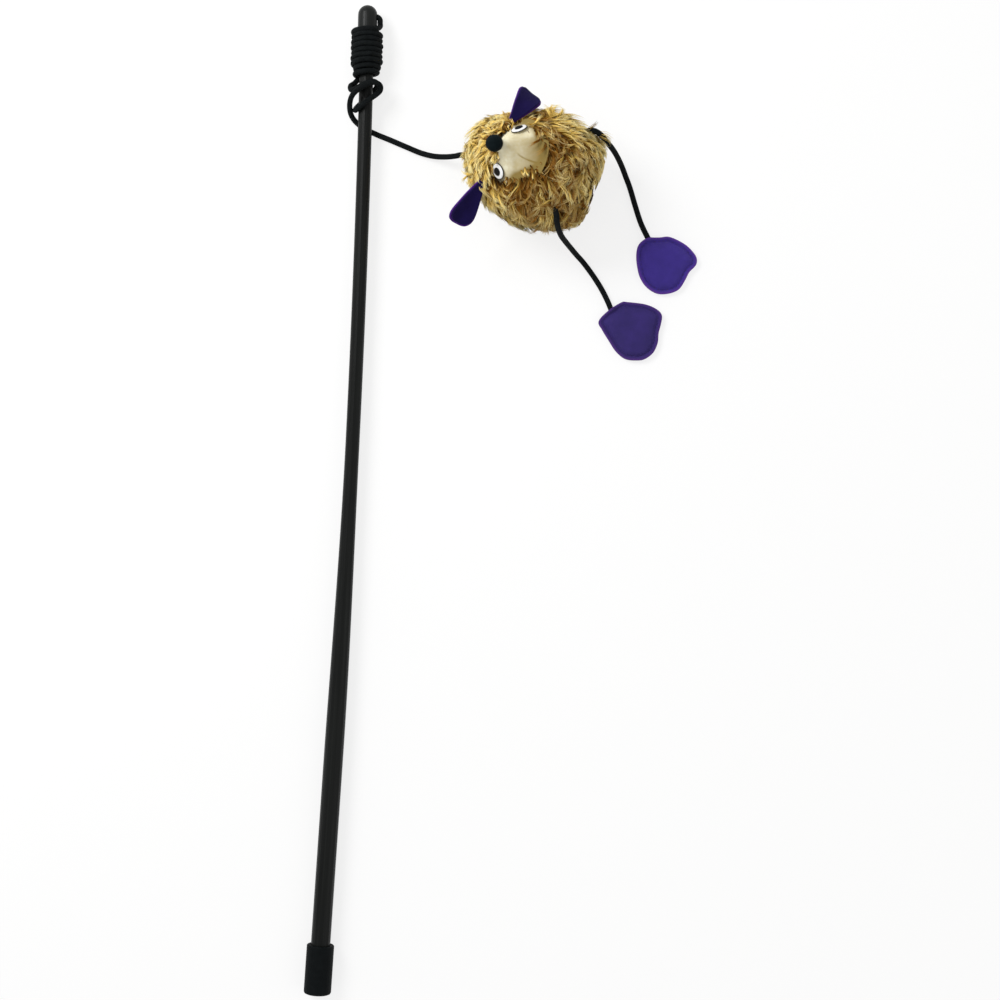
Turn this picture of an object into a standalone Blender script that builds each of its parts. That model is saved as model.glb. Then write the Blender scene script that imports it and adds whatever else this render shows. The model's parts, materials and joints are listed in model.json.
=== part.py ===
"""Cat teaser wand: a slim rod with a rubber butt cap and a rounded tip cap, an elastic
cord wound round the tip, and a small plush animal with felt ears and feet on the cord.

Metres, +Z up. The origin is the centre of the butt cap's flat end. +Y runs along the
straight butt of the rod towards its tip. The toy lies on a surface, on the butt cap,
the winding, the plush and the felt feet.
"""

import math

import bmesh
import bpy
from mathutils import Matrix, Vector

MM = 0.001

# Clearances
GAP = 0.3 * MM  # between pieces that touch
CORD_HOLE_CLEARANCE = 0.3 * MM  # round a cord in its hole

# Rod: a tapered tube, straight at the butt and swept sideways towards the tip
ROD_REACH = 494.4 * MM  # from the butt face to the end of the tip cap, along Y
BUTT_RADIUS = 4.85 * MM
TIP_RADIUS = 3.5 * MM
TUBE_WALL = 1.1 * MM
TAPER_START = 115 * MM
TAPER_END = 280 * MM
BEND_START = 140 * MM
TIP_SWEEP = 8.5 * MM  # how far the tip stands to the side, towards -X
ROD_STEP = 11 * MM  # length of one facet of the tube

# Butt cap
BUTT_CAP_RADIUS = 6.85 * MM
BUTT_CAP_LENGTH = 24.5 * MM
BUTT_CAP_END_WALL = 2.2 * MM
BUTT_CAP_CHAMFER = 1.1 * MM
BUTT_CAP_LIP = 0.4 * MM

# Tip cap
TIP_CAP_RADIUS = 4.8 * MM
TIP_CAP_LENGTH = 30.8 * MM
TIP_CAP_DOME_WALL = 1.4 * MM
TIP_CAP_LIP = 0.3 * MM
TAIL_KNOT_RADIUS = 2.6 * MM
TAIL_KNOT_DEPTH = 5.8 * MM  # from the end of the tip cap to the middle of the knot

# Cord and its winding
CORD_RADIUS = 1.4 * MM
TURNS_ON_CAP = 7
TURNS_ON_ROD = 2
RIDGE_ANGLE = 80  # degrees of arc on each side of a turn's crest
KNOT_RADIUS = 2.7 * MM

# Plush body, an egg that lies on its back with its crown towards the rod
BODY_RADIUS = 28.5 * MM
BODY_HALF_LENGTH = 36 * MM
BODY_BASE = 30.4 * MM  # from the egg's middle to its flat base
PILE = 4.3 * MM  # thickness of the fur with its backing
BODY_X = 81.2 * MM
BODY_Y = 415.1 * MM
BODY_HEADING = math.radians(163.9)  # of the crown, about +Z from +X
BODY_ROLL = math.radians(-10)
HEAD_LEAN = math.radians(6.2)  # of the face and ears on the egg, about its front

# Snout: a velour cone that flares towards the fur
NOSE_X = 2.7 * MM
NOSE_Y = -(BODY_RADIUS + 4.0 * MM)
NOSE_Z = BODY_HALF_LENGTH - 13.7 * MM
NOSE_RADIUS = 4.15 * MM
SNOUT_TILT = math.radians(49.5)  # of the snout's axis from the crown's direction
SNOUT_START = 3.2 * MM  # from the middle of the nose to the snout's tip
SNOUT_LENGTH = 15 * MM
SNOUT_TIP_RADIUS = 2.9 * MM
SNOUT_RIM_RADIUS = 16.5 * MM
SNOUT_TIP_SLOPE = 0.33  # radius gained for each unit of length, at the tip
VELOUR = 1.0 * MM

# Eyes: round felt spots on the snout
EYE_RADIUS = 4.1 * MM
EYE_THICKNESS = 0.8 * MM
EYE_BEHIND_NOSE = 13.95 * MM  # along the snout's axis
EYE_TURN = math.radians(11.3)  # from the side towards the crown, about the snout's axis
EYE_LIFT = 0.36 * MM  # of an eye's underside above the velour
EYE_WELL_CLEARANCE = 0.6 * MM
PUPIL_RADIUS = 2.15 * MM
PUPIL_THICKNESS = 0.5 * MM

# Ears: two layers of felt
EAR_LENGTH = 23 * MM
EAR_FELT = 0.9 * MM
EAR_CUP = 1.6 * MM  # how far the sides curl forwards
EAR_SLOT_LENGTH = 14.0 * MM  # along the ear
EAR_SLOT_WIDTH = 5.8 * MM
EAR_SLOT_FLOOR = 0.6 * MM  # room under the ear's root
EAR_ROOT = 2.4 * MM  # length of ear inside the slot
EAR_BASE_X = 17.3 * MM
EAR_BASE_Y = -13.2 * MM
EAR_BASE_Z = 18.9 * MM
EAR_LEFT_DIRECTION = (0.82, 0.42, -0.15)
EAR_LEFT_TWIST = math.radians(5)
EAR_RIGHT_DIRECTION = (-0.96, 0.12, 0.12)
EAR_RIGHT_TWIST = math.radians(-28)
# Half widths of an ear at distances from its root, as shares of the ear's length
EAR_OUTLINE = ((0, 2.8), (0.28, 4.2), (0.55, 5.6), (0.75, 6.5), (0.88, 6.3), (0.96, 4.8), (1, 2.2))

# Feet: a felt sole and a padded felt top
FOOT_FELT = 1.2 * MM
FOOT_PAD = 2.6 * MM  # how far the top bulges above its rim
FOOT_NOTCH_CLEARANCE = 0.6 * MM
FOOT_NOTCH_REACH = 10 * MM  # of the cutter to each side of the leg's end
FOOT_FACET = 2.6 * MM
FOOT_LEFT_HEADING = math.radians(-76)  # of the toes, about +Z from +X
FOOT_RIGHT_HEADING = math.radians(-61.5)
# Outline of a foot, along it and across it, from the place where the leg ends
FOOT_OUTLINE = (
    (3.6, -7.6), (0.3, -2.0), (-0.4, 5.4), (1.6, 11.2), (5.4, 16.6), (10.4, 20.6),
    (14.0, 21.6), (17.2, 19.9), (20.4, 16.4), (24.6, 13.8), (28.2, 9.8), (29.4, 4.6),
    (28.0, -0.4), (24.4, -5.0), (18.8, -7.5), (12.8, -8.1), (7.6, -8.2),
)

# Route of the cord from the tip cap's hole to the winding: outwards from the cap's side
# in millimetres, and down as a share of the drop to the winding
TAIL_ROUTE = ((-0.6, 0.1), (0.2, 0.36), (0.2, 0.7), (0.1, 1.0))

# Route of the loose hitches, in the rod's own frame at HITCH_Y: right, towards the
# tip, and up from the rod's middle. Chosen by hand, in millimetres.
HITCH_Y = 447.2 * MM
HITCH_ROUTE = (
    (-3.4, 8.9, -4.0), (-5.7, 8.6, -1.4), (-7.6, 6.6, 0.8), (-7.0, 4.2, 3.0),
    (-4.2, 4.8, 5.2), (-0.6, 6.8, 5.7), (3.3, 8.5, 4.6), (5.5, 8.2, 0.8),
    (4.6, 5.8, -3.2), (1.2, 2.2, -5.3), (-2.7, -2.6, -4.9), (-5.2, -6.6, -1.4),
    (-4.6, -7.6, 2.8), (-1.4, -4.6, 5.4), (2.4, -0.9, 5.3), (5.6, 1.7, 3.9),
    (8.2, 4.2, 3.6), (7.9, 7.0, 5.3), (4.6, 8.0, 7.7), (0.2, 6.2, 8.9),
    (-3.7, 3.5, 8.3), (-7.0, 0.4, 5.9), (-8.5, -3.2, 2.9), (-8.4, -7.4, -0.5),
    (-6.2, -10.6, -3.5), (-2.9, -12.6, -5.1), (0.6, -13.9, -5.6), (1.9, -14.4, -5.7),
)

# Routes of the cords that lie free, in the part's own frame. Chosen by hand, in
# millimetres.
LINE_ROUTE = (
    (-2.2, 432.1, -5.0), (1.6, 430.8, -5.4), (6.3, 429.3, -5.45), (14.9, 426.3, -5.45),
    (22.8, 423.6, -5.0), (29.4, 422.2, -3.5), (35.6, 421.8, -0.4), (40.4, 421.9, 3.4),
    (44.0, 422.0, 7.2),
)
LEG_LEFT_ROUTE = (
    (108.0, 434.6, 30.3), (110.6, 433.6, 28.6), (113.0, 432.0, 24.2), (115.2, 430.6, 18.6),
    (118.0, 428.9, 12.6), (121.0, 426.2, 5.8), (123.8, 422.7, -0.4), (126.2, 418.5, -4.2),
    (128.7, 413.3, -5.45), (131.7, 405.2, -5.45), (134.7, 397.1, -5.45),
    (137.3, 392.2, -5.0), (139.3, 389.6, -4.3),
)
LEG_RIGHT_ROUTE = (
    (91.9, 390.6, 40.4), (92.2, 388.6, 39.4), (92.8, 386.6, 35.8), (93.9, 384.6, 30.2),
    (95.6, 382.8, 23.2), (97.8, 381.4, 15.8), (100.4, 379.8, 8.2), (103.8, 377.4, 0.8),
    (108.0, 374.0, -4.0), (113.3, 368.0, -5.45), (117.9, 361.7, -5.45),
    (121.4, 355.6, -5.0), (122.8, 352.9, -4.3),
)
TAIL_SPACING = 0.9 * MM  # between the points of the cord at the tip cap
CORD_SPACING = 2.5 * MM  # between a hitch's points
LINE_SPACING = 4.5 * MM  # between the points of a cord that lies free

EMPTY_SIZE = 5 * MM  # of the crosses that mark what moves together

# Facets
ROUND_STEPS = 32
BODY_STEPS = 40
BODY_RINGS = 18
CORD_SIDES_RESOLUTION = 2

COLOURS = {
    "rod_plastic": ((0.028, 0.026, 0.025), 0.38),
    "cap_rubber": ((0.012, 0.012, 0.013), 0.62),
    "tip_plastic": ((0.045, 0.046, 0.048), 0.45),
    "elastic_cord": ((0.008, 0.008, 0.009), 0.8),
    "plush_fur": ((0.52, 0.34, 0.13), 0.9),
    "wadding": ((0.8, 0.8, 0.78), 0.95),
    "velour": ((0.68, 0.57, 0.38), 0.9),
    "nose_felt": ((0.006, 0.007, 0.008), 0.75),
    "eye_white": ((0.85, 0.85, 0.83), 0.5),
    "eye_black": ((0.006, 0.006, 0.008), 0.45),
    "ear_felt": ((0.09, 0.02, 0.22), 0.95),
    "ear_lining": ((0.025, 0.012, 0.1), 0.95),
    "foot_felt": ((0.05, 0.02, 0.27), 0.95),
}


def clear_scene():
    """Remove every object that the scene starts with."""
    for thing in list(bpy.data.objects):
        bpy.data.objects.remove(thing, do_unlink=True)


def new_collection(name):
    """Return a new collection that the scene shows."""
    made = bpy.data.collections.new(name)
    bpy.context.scene.collection.children.link(made)
    return made


def finish_material(name):
    """Return the named finish, a Principled material made once."""
    if name in bpy.data.materials:
        return bpy.data.materials[name]
    colour, roughness = COLOURS[name]
    made = bpy.data.materials.new(name)
    made.use_nodes = True
    shader = made.node_tree.nodes["Principled BSDF"]
    shader.inputs["Base Color"].default_value = (*colour, 1)
    shader.inputs["Roughness"].default_value = roughness
    shader.inputs["Metallic"].default_value = 0
    made.diffuse_color = (*colour, 1)
    return made


def place(name, data, home, finish=None, parent=None, matrix=None):
    """Add an object that holds data to the collection home."""
    made = bpy.data.objects.new(name, data)
    home.objects.link(made)
    if finish:
        data.materials.append(finish_material(finish))
    if parent:
        made.parent = parent
    if matrix:
        made.matrix_local = matrix
    return made


def add_empty(name, home, matrix, parent=None):
    """Add an empty at a place in the world, which carries pieces that move together."""
    made = bpy.data.objects.new(name, None)
    home.objects.link(made)
    made.empty_display_size = EMPTY_SIZE
    if parent:
        made.parent = parent
        matrix = parent.matrix_world.inverted() @ matrix
    made.matrix_local = matrix
    bpy.context.view_layer.update()
    return made


def hide_cutter(cutter):
    """Keep a tool body out of the model."""
    cutter.hide_render = True
    cutter.display_type = "WIRE"
    return cutter


def bool_with(target, other, operation="DIFFERENCE"):
    """Cut target by other, or join other to it."""
    step = target.modifiers.new(f"{operation.lower()}_{other.name}", "BOOLEAN")
    step.operation = operation
    step.solver = "EXACT"
    step.object = other


def smooth_sides(mesh, angle=40):
    """Shade a mesh smooth, with creases at its corners."""
    mesh.shade_smooth()
    mesh.set_sharp_from_angle(angle=math.radians(angle))


def turned(name, profile, home, finish=None, parent=None, matrix=None, closed=False, steps=ROUND_STEPS):
    """Turn a profile of (radius, height) points about its local Z axis."""
    shape = bmesh.new()
    dots = [shape.verts.new((radius, 0, height)) for radius, height in profile]
    for first, second in zip(dots, dots[1:]):
        shape.edges.new((first, second))
    if closed:
        shape.edges.new((dots[-1], dots[0]))
    mesh = bpy.data.meshes.new(name)
    shape.to_mesh(mesh)
    shape.free()
    made = place(name, mesh, home, finish, parent, matrix)
    screw = made.modifiers.new("turn", "SCREW")
    screw.axis = "Z"
    screw.steps = steps
    screw.render_steps = steps
    screw.use_merge_vertices = True
    screw.merge_threshold = 0.01 * MM
    screw.use_smooth_shade = True
    return made


def arc(centre, radius, start, end, count):
    """Return points of (radius, height) along an arc; angles in degrees from +X."""
    points = []
    for index in range(count + 1):
        angle = math.radians(start + (end - start) * index / count)
        points.append((centre[0] + radius * math.cos(angle), centre[1] + radius * math.sin(angle)))
    return points


def millimetres(route):
    """Turn a hand-chosen route into vectors in metres."""
    return [Vector(point) * MM for point in route]


def smooth_route(points, spacing, closed=False):
    """Return evenly spaced points on a Catmull-Rom curve through the given ones."""
    if closed:
        guarded = [points[-1], *points, points[0], points[1]]
    else:
        guarded = [2 * points[0] - points[1], *points, 2 * points[-1] - points[-2]]
    fine = []
    for index in range(1, len(guarded) - 2):
        before, here, there, after = guarded[index - 1:index + 3]
        for part in range(12):
            t = part / 12
            fine.append(0.5 * (
                2 * here
                + (there - before) * t
                + (2 * before - 5 * here + 4 * there - after) * t ** 2
                + (3 * here - before - 3 * there + after) * t ** 3
            ))
    fine.append(guarded[-2].copy())
    lengths = [(second - first).length for first, second in zip(fine, fine[1:])]
    count = max(2, round(sum(lengths) / spacing))
    wanted = sum(lengths) / count
    even = [fine[0]]
    travelled = 0
    for first, second, length in zip(fine, fine[1:], lengths):
        while len(even) < count and travelled + length >= wanted * len(even):
            share = (wanted * len(even) - travelled) / length
            even.append(first.lerp(second, share))
        travelled += length
    if not closed:
        even.append(fine[-1])
    return even


def cord_tube(name, points, home, parent=None, round_start=False, round_end=False):
    """Make a cord through points. A rounded end is a half ball about its last point."""
    rows = [(point, 1.0) for point in points]
    for wanted, end, inner in ((round_start, 0, 1), (round_end, -1, -2)):
        if not wanted:
            continue
        outward = (points[end] - points[inner]).normalized()
        ball = []
        for angle in (35, 65, 85):
            reach = CORD_RADIUS * math.sin(math.radians(angle))
            ball.append((points[end] + outward * reach, math.cos(math.radians(angle))))
        rows = ball[::-1] + rows if end == 0 else rows + ball
    curve = bpy.data.curves.new(name, "CURVE")
    curve.dimensions = "3D"
    curve.bevel_depth = CORD_RADIUS
    curve.bevel_resolution = CORD_SIDES_RESOLUTION
    curve.use_fill_caps = True
    spline = curve.splines.new("POLY")
    spline.points.add(len(rows) - 1)
    for dot, (point, width) in zip(spline.points, rows):
        dot.co = (*point, 1)
        dot.radius = width
    spline.use_smooth = True
    made = place(name, curve, home, "elastic_cord")
    if parent:
        made.parent = parent
        made.matrix_parent_inverse = parent.matrix_world.inverted()
    return made


def mesh_from(maker, name, home, finish):
    """Replace a curve object by a welded mesh object."""
    bpy.context.view_layer.update()
    graph = bpy.context.evaluated_depsgraph_get()
    mesh = bpy.data.meshes.new_from_object(maker.evaluated_get(graph))
    shape = bmesh.new()
    shape.from_mesh(mesh)
    bmesh.ops.remove_doubles(shape, verts=shape.verts, dist=0.005 * MM)
    shape.to_mesh(mesh)
    shape.free()
    bpy.data.objects.remove(maker, do_unlink=True)
    mesh.name = name
    mesh.materials.clear()
    return place(name, mesh, home, finish)


def ball(name, radius, home, finish, parent=None, matrix=None):
    """Add a ball."""
    shape = bmesh.new()
    bmesh.ops.create_uvsphere(shape, u_segments=16, v_segments=10, radius=radius)
    mesh = bpy.data.meshes.new(name)
    shape.to_mesh(mesh)
    shape.free()
    mesh.shade_smooth()
    return place(name, mesh, home, finish, parent, matrix)


def rod_share(y):
    """Return how far along its bend the rod is at y, from 0 to 1."""
    return max(0, y - BEND_START) / (ROD_REACH - BEND_START)


def winding_middle():
    """Return the Y of the middle of the winding."""
    mouth = ROD_REACH - TIP_CAP_LENGTH
    return mouth + (TURNS_ON_CAP - TURNS_ON_ROD) * CORD_RADIUS


def tip_rise():
    """Return how high the tip stands, so that the winding rests level with the butt cap."""
    outer = TIP_CAP_RADIUS + GAP + 2 * CORD_RADIUS
    return (outer - BUTT_CAP_RADIUS) / rod_share(winding_middle()) ** 2


def rod_point(y):
    """Return the middle of the rod at y."""
    share = rod_share(y) ** 2
    return Vector((-TIP_SWEEP * share, y, tip_rise() * share))


def rod_radius(y):
    """Return the rod's outer radius at y."""
    share = min(1, max(0, (y - TAPER_START) / (TAPER_END - TAPER_START)))
    eased = share * share * (3 - 2 * share)
    return BUTT_RADIUS + (TIP_RADIUS - BUTT_RADIUS) * eased


def rod_frame(y):
    """Return the rod's own frame at y: X to the right, Z along the rod, Y down."""
    along = (rod_point(y + MM) - rod_point(y - MM)).normalized()
    right = along.cross(Vector((0, 0, 1))).normalized()
    down = along.cross(right)
    frame = Matrix((right, down, along)).transposed().to_4x4()
    frame.translation = rod_point(y)
    return frame


def build_rod_tube(home):
    """A hollow tapered tube along the rod's bend."""
    start = BUTT_CAP_END_WALL + GAP
    end = ROD_REACH - TAIL_KNOT_DEPTH - TAIL_KNOT_RADIUS - GAP
    count = round((end - start) / ROD_STEP)
    curve = bpy.data.curves.new("rod_route", "CURVE")
    curve.dimensions = "3D"
    curve.bevel_depth = 1 * MM
    curve.bevel_resolution = 8
    spline = curve.splines.new("POLY")
    spline.points.add(count)
    for index, dot in enumerate(spline.points):
        y = start + (end - start) * index / count
        dot.co = (*rod_point(y), 1)
        dot.radius = rod_radius(y) / MM
    maker = place("rod_maker", curve, home)
    tube = mesh_from(maker, "rod_tube", home, "rod_plastic")
    tube.data.shade_smooth()
    shell = tube.modifiers.new("wall", "SOLIDIFY")
    shell.thickness = TUBE_WALL
    shell.offset = -1
    return tube


def build_butt_cap(home):
    """A rubber cup over the thick end."""
    bore = BUTT_RADIUS + GAP
    outer = BUTT_CAP_RADIUS
    profile = (
        (0, BUTT_CAP_END_WALL),
        (bore, BUTT_CAP_END_WALL),
        (bore, BUTT_CAP_LENGTH),
        (outer - BUTT_CAP_LIP, BUTT_CAP_LENGTH),
        (outer, BUTT_CAP_LENGTH - BUTT_CAP_LIP),
        (outer, BUTT_CAP_CHAMFER),
        (outer - BUTT_CAP_CHAMFER * 0.3, BUTT_CAP_CHAMFER * 0.3),
        (outer - BUTT_CAP_CHAMFER, 0),
        (0, 0),
    )
    return turned("butt_cap", profile, home, "cap_rubber", matrix=rod_frame(0))


def build_tip_cap(home, tools):
    """A domed plastic cap over the slim end, with a side hole for the cord."""
    outer = TIP_CAP_RADIUS
    bore = TIP_RADIUS + GAP
    dome = TIP_CAP_LENGTH - outer
    inner_top = TIP_CAP_LENGTH - TIP_CAP_DOME_WALL
    profile = arc((0, dome), outer, 90, 0, 7)
    profile += [(outer, TIP_CAP_LIP), (outer - TIP_CAP_LIP, 0), (bore, 0)]
    profile += arc((0, inner_top - bore), bore, 0, 90, 6)
    mouth = rod_frame(ROD_REACH - TIP_CAP_LENGTH)
    cap = turned("tip_cap", profile, home, "tip_plastic", matrix=mouth)
    hole = CORD_RADIUS + CORD_HOLE_CLEARANCE
    drill_length = 2 * outer
    shape = bmesh.new()
    bmesh.ops.create_cone(
        shape, cap_ends=True, segments=20, radius1=hole, radius2=hole, depth=drill_length,
        matrix=Matrix.Rotation(math.radians(90), 4, "Y"),
    )
    mesh = bpy.data.meshes.new("cord_drill")
    shape.to_mesh(mesh)
    shape.free()
    spot = Matrix.Translation((drill_length / 2, 0, TIP_CAP_LENGTH - TAIL_KNOT_DEPTH))
    drill = hide_cutter(place("cord_drill", mesh, tools, matrix=mouth @ spot))
    bool_with(cap, drill)
    return cap


def build_tail(home):
    """The knot in the tip cap, and the cord from it out of the side hole."""
    frame = rod_frame(ROD_REACH - TAIL_KNOT_DEPTH)
    ball("tail_knot", TAIL_KNOT_RADIUS, home, "elastic_cord", matrix=frame)
    side = TIP_CAP_RADIUS + GAP + CORD_RADIUS
    start = TAIL_KNOT_RADIUS + GAP
    winding_top = 2 * winding_middle() - ROD_REACH + TIP_CAP_LENGTH + TURNS_ON_ROD * 2 * CORD_RADIUS
    drop = ROD_REACH - TAIL_KNOT_DEPTH - winding_top - GAP
    route = [Vector((start, 0, 0)), Vector((TIP_CAP_RADIUS - CORD_HOLE_CLEARANCE, 0, 0))]
    route += [Vector((side + out * MM, 0, -share * drop)) for out, share in TAIL_ROUTE]
    points = [frame @ point for point in smooth_route(route, TAIL_SPACING)]
    cord_tube("cord_tail", points, home)


def build_tip_winding(home):
    """The tight turns, as one sleeve with a round ridge for each turn."""
    mouth = ROD_REACH - TIP_CAP_LENGTH
    pitch = 2 * CORD_RADIUS
    on_cap = TIP_CAP_RADIUS + GAP
    on_rod = TIP_RADIUS + GAP
    profile = [(on_cap, TURNS_ON_CAP * pitch)]
    for turn in range(TURNS_ON_CAP + TURNS_ON_ROD):
        middle = (TURNS_ON_CAP - turn - 0.5) * pitch
        inner = on_cap if middle > 0 else on_rod
        profile += arc((inner + CORD_RADIUS, middle), CORD_RADIUS, RIDGE_ANGLE, -RIDGE_ANGLE, 4)
    profile += [(on_rod, -TURNS_ON_ROD * pitch), (on_rod, -GAP), (on_cap, -GAP)]
    return turned(
        "tip_winding", profile, home, "elastic_cord", matrix=rod_frame(mouth), closed=True, steps=28,
    )


def build_hitch_cord(home):
    """The loose hitches below the winding."""
    frame = rod_frame(HITCH_Y)
    flat = Matrix(((1, 0, 0), (0, 0, -1), (0, 1, 0))).to_4x4()
    points = [frame @ flat @ point for point in smooth_route(millimetres(HITCH_ROUTE), CORD_SPACING)]
    return cord_tube("hitch_cord", points, home)


def build_line(home):
    """The cord from the rod to the plush. Return the empty at its far end."""
    points = smooth_route(millimetres(LINE_ROUTE), LINE_SPACING)
    pivot = add_empty("line_pivot", home, Matrix.Translation(points[0]))
    cord_tube("line_cord", points, home, pivot, round_start=True, round_end=True)
    return add_empty("toy_pivot", home, Matrix.Translation(points[-1]), pivot)


def body_frame():
    """Return the plush's own frame: X to its left, -Y to its front, Z to its crown."""
    crown = Vector((math.cos(BODY_HEADING), math.sin(BODY_HEADING), 0))
    left = Vector((math.sin(BODY_HEADING), -math.cos(BODY_HEADING), 0))
    frame = Matrix((left, Vector((0, 0, -1)), crown)).transposed().to_4x4()
    frame.translation = (BODY_X, BODY_Y, BODY_RADIUS - BUTT_CAP_RADIUS)
    return frame @ Matrix.Rotation(BODY_ROLL, 4, "Z")


def snout_frame():
    """Return the snout's frame in the plush: +Z runs back from the middle of the nose."""
    front = Vector((0, -math.sin(SNOUT_TILT), math.cos(SNOUT_TILT)))
    side = Vector((1, 0, 0))
    back = -front
    frame = Matrix((side, back.cross(side), back)).transposed().to_4x4()
    frame.translation = (NOSE_X, NOSE_Y, NOSE_Z)
    return Matrix.Rotation(HEAD_LEAN, 4, "Y") @ frame


def snout_radius(depth):
    """Return the snout's outer radius at a distance behind its tip."""
    straight = SNOUT_TIP_SLOPE * depth
    flare = SNOUT_RIM_RADIUS - SNOUT_TIP_RADIUS - SNOUT_TIP_SLOPE * SNOUT_LENGTH
    return SNOUT_TIP_RADIUS + straight + flare * (depth / SNOUT_LENGTH) ** 2


def snout_profile(inset=0.0, count=9):
    """Return the snout's outer line, moved in by inset, from the rim to the tip."""
    points = []
    for index in range(count + 1):
        depth = SNOUT_LENGTH * (1 - index / count)
        step = 0.05 * MM
        slope = (snout_radius(depth + step) - snout_radius(depth - step)) / (2 * step)
        norm = math.hypot(1, slope)
        radius = snout_radius(depth) - inset / norm
        height = max(depth + inset * slope / norm, inset)
        points.append((radius, SNOUT_START + height))
    return points


def egg_profile(inset, base, count=BODY_RINGS):
    """Return the egg's outline from the crown to its base, moved in by inset."""
    radius = BODY_RADIUS - inset
    half = BODY_HALF_LENGTH - inset
    last = math.acos(max(-1, -base / half))
    points = []
    for index in range(count + 1):
        angle = last * index / count
        points.append((radius * math.sin(angle), half * math.cos(angle)))
    points[0] = (0, half)
    return points


def egg_distance(point, inset=0.0):
    """Return where a point stands from the egg's middle, 1 on its surface."""
    flat = (point.x ** 2 + point.y ** 2) / (BODY_RADIUS - inset) ** 2
    return math.sqrt(flat + point.z ** 2 / (BODY_HALF_LENGTH - inset) ** 2)


def on_egg(direction, inset=0.0):
    """Return the point of the egg's surface in a direction."""
    return direction / egg_distance(direction, inset)


def drill_between(name, first, second, radius, tools, parent):
    """Return a round cutter from first to second, in the parent's frame."""
    along = second - first
    shape = bmesh.new()
    bmesh.ops.create_cone(
        shape, cap_ends=True, segments=16, radius1=radius, radius2=radius, depth=along.length,
    )
    mesh = bpy.data.meshes.new(name)
    shape.to_mesh(mesh)
    shape.free()
    matrix = along.to_track_quat("Z", "Y").to_matrix().to_4x4()
    matrix.translation = (first + second) / 2
    return hide_cutter(place(name, mesh, tools, parent=parent, matrix=matrix))


def build_knot(name, cord_end, home, tools, body):
    """A knot under the pile with its stub of cord out to the cord's end, and their cutters."""
    inward = -cord_end.normalized()
    middle = on_egg(cord_end, PILE) + inward * (KNOT_RADIUS + GAP)
    stub_end = cord_end + inward * (CORD_RADIUS + GAP)
    matrix = Matrix.Translation(middle)
    knot = ball(name, KNOT_RADIUS, home, "elastic_cord", body, matrix)
    stub = drill_between(f"{name}_stub", middle, stub_end, CORD_RADIUS, tools, body)
    bool_with(knot, stub, "UNION")
    hole = CORD_RADIUS + CORD_HOLE_CLEARANCE
    outside = on_egg(cord_end) - inward * PILE
    through = drill_between(f"{name}_hole", middle, outside, hole, tools, body)
    deep = middle + inward * KNOT_RADIUS
    pocket_radius = KNOT_RADIUS + GAP
    pocket = drill_between(f"{name}_pocket", deep + inward * GAP, outside, pocket_radius, tools, body)
    return through, pocket


def build_plush(home, tools, toy):
    """The pelt, its base, the wadding and the snout."""
    body = add_empty("plush_frame", home, body_frame(), toy)
    pelt = turned(
        "fur_pelt", egg_profile(0, BODY_BASE), home, "plush_fur", body, steps=BODY_STEPS,
    )
    pile = pelt.modifiers.new("pile", "SOLIDIFY")
    pile.thickness = PILE
    pile.offset = -1
    (above_radius, above_z), (rim_radius, rim_z) = egg_profile(0, BODY_BASE)[-2:]
    tilt = Vector((above_z - rim_z, rim_radius - above_radius)).normalized()
    inner_rim = (rim_radius - PILE * tilt.x, rim_z - PILE * tilt.y)
    slant = 1.2 * GAP / -tilt.y
    base_profile = (
        (0, inner_rim[1]),
        (inner_rim[0] - slant, inner_rim[1]),
        (rim_radius - slant, rim_z),
        (0, rim_z),
    )
    turned("pelt_base", base_profile, home, "plush_fur", body, steps=BODY_STEPS)

    inset = PILE + GAP
    fill = egg_profile(inset, -(inner_rim[1] + GAP))
    fill.append((0, fill[-1][1]))
    stuffing = turned("stuffing", fill, home, "wadding", body, steps=BODY_STEPS)

    snout = snout_frame()
    front = [*snout_profile(), (0, SNOUT_START)]
    face = turned("face_panel", front, home, "velour", body, snout)
    skin = face.modifiers.new("cloth", "SOLIDIFY")
    skin.thickness = VELOUR
    skin.offset = -1
    backing_profile = egg_profile(PILE, BODY_BASE)
    backing_profile.append((0, backing_profile[-1][1]))
    backing = hide_cutter(turned("backing_tool", backing_profile, tools, parent=body, steps=BODY_STEPS))
    bool_with(face, backing)

    behind = SNOUT_START + SNOUT_LENGTH + 2 * MM
    opening_profile = [(0, behind), (SNOUT_RIM_RADIUS + GAP, behind)]
    opening_profile += snout_profile(-GAP)
    opening_profile.append((0, SNOUT_START - GAP))
    opening = hide_cutter(turned("snout_opening", opening_profile, tools, parent=body, matrix=snout))
    bool_with(pelt, opening)

    core = [(0, SNOUT_START + SNOUT_LENGTH)]
    core += snout_profile(VELOUR + GAP)
    core.append((0, SNOUT_START + VELOUR + GAP))
    filler = hide_cutter(turned("snout_filler", core, tools, parent=body, matrix=snout))
    bool_with(stuffing, filler, "UNION")

    mouths = {
        "line_knot": body.matrix_world.inverted() @ toy.matrix_world.translation,
        "leg_knot_left": body.matrix_world.inverted() @ millimetres(LEG_LEFT_ROUTE)[0],
        "leg_knot_right": body.matrix_world.inverted() @ millimetres(LEG_RIGHT_ROUTE)[0],
    }
    for name, end in mouths.items():
        through, pocket = build_knot(name, end, home, tools, body)
        bool_with(pelt, through)
        bool_with(stuffing, pocket)
    return body, pelt, stuffing, snout


def build_nose(home, body, snout):
    """A round nose with a flat seat on the snout's tip."""
    seat = SNOUT_START - GAP
    start = math.degrees(math.asin(seat / NOSE_RADIUS))
    profile = [(0, seat)]
    profile += arc((0, 0), NOSE_RADIUS, start, -90, 12)
    profile = [(0, height) if radius < 0.01 * MM else (radius, height) for radius, height in profile]
    turned("nose", profile, home, "nose_felt", body, snout, steps=24)


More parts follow.
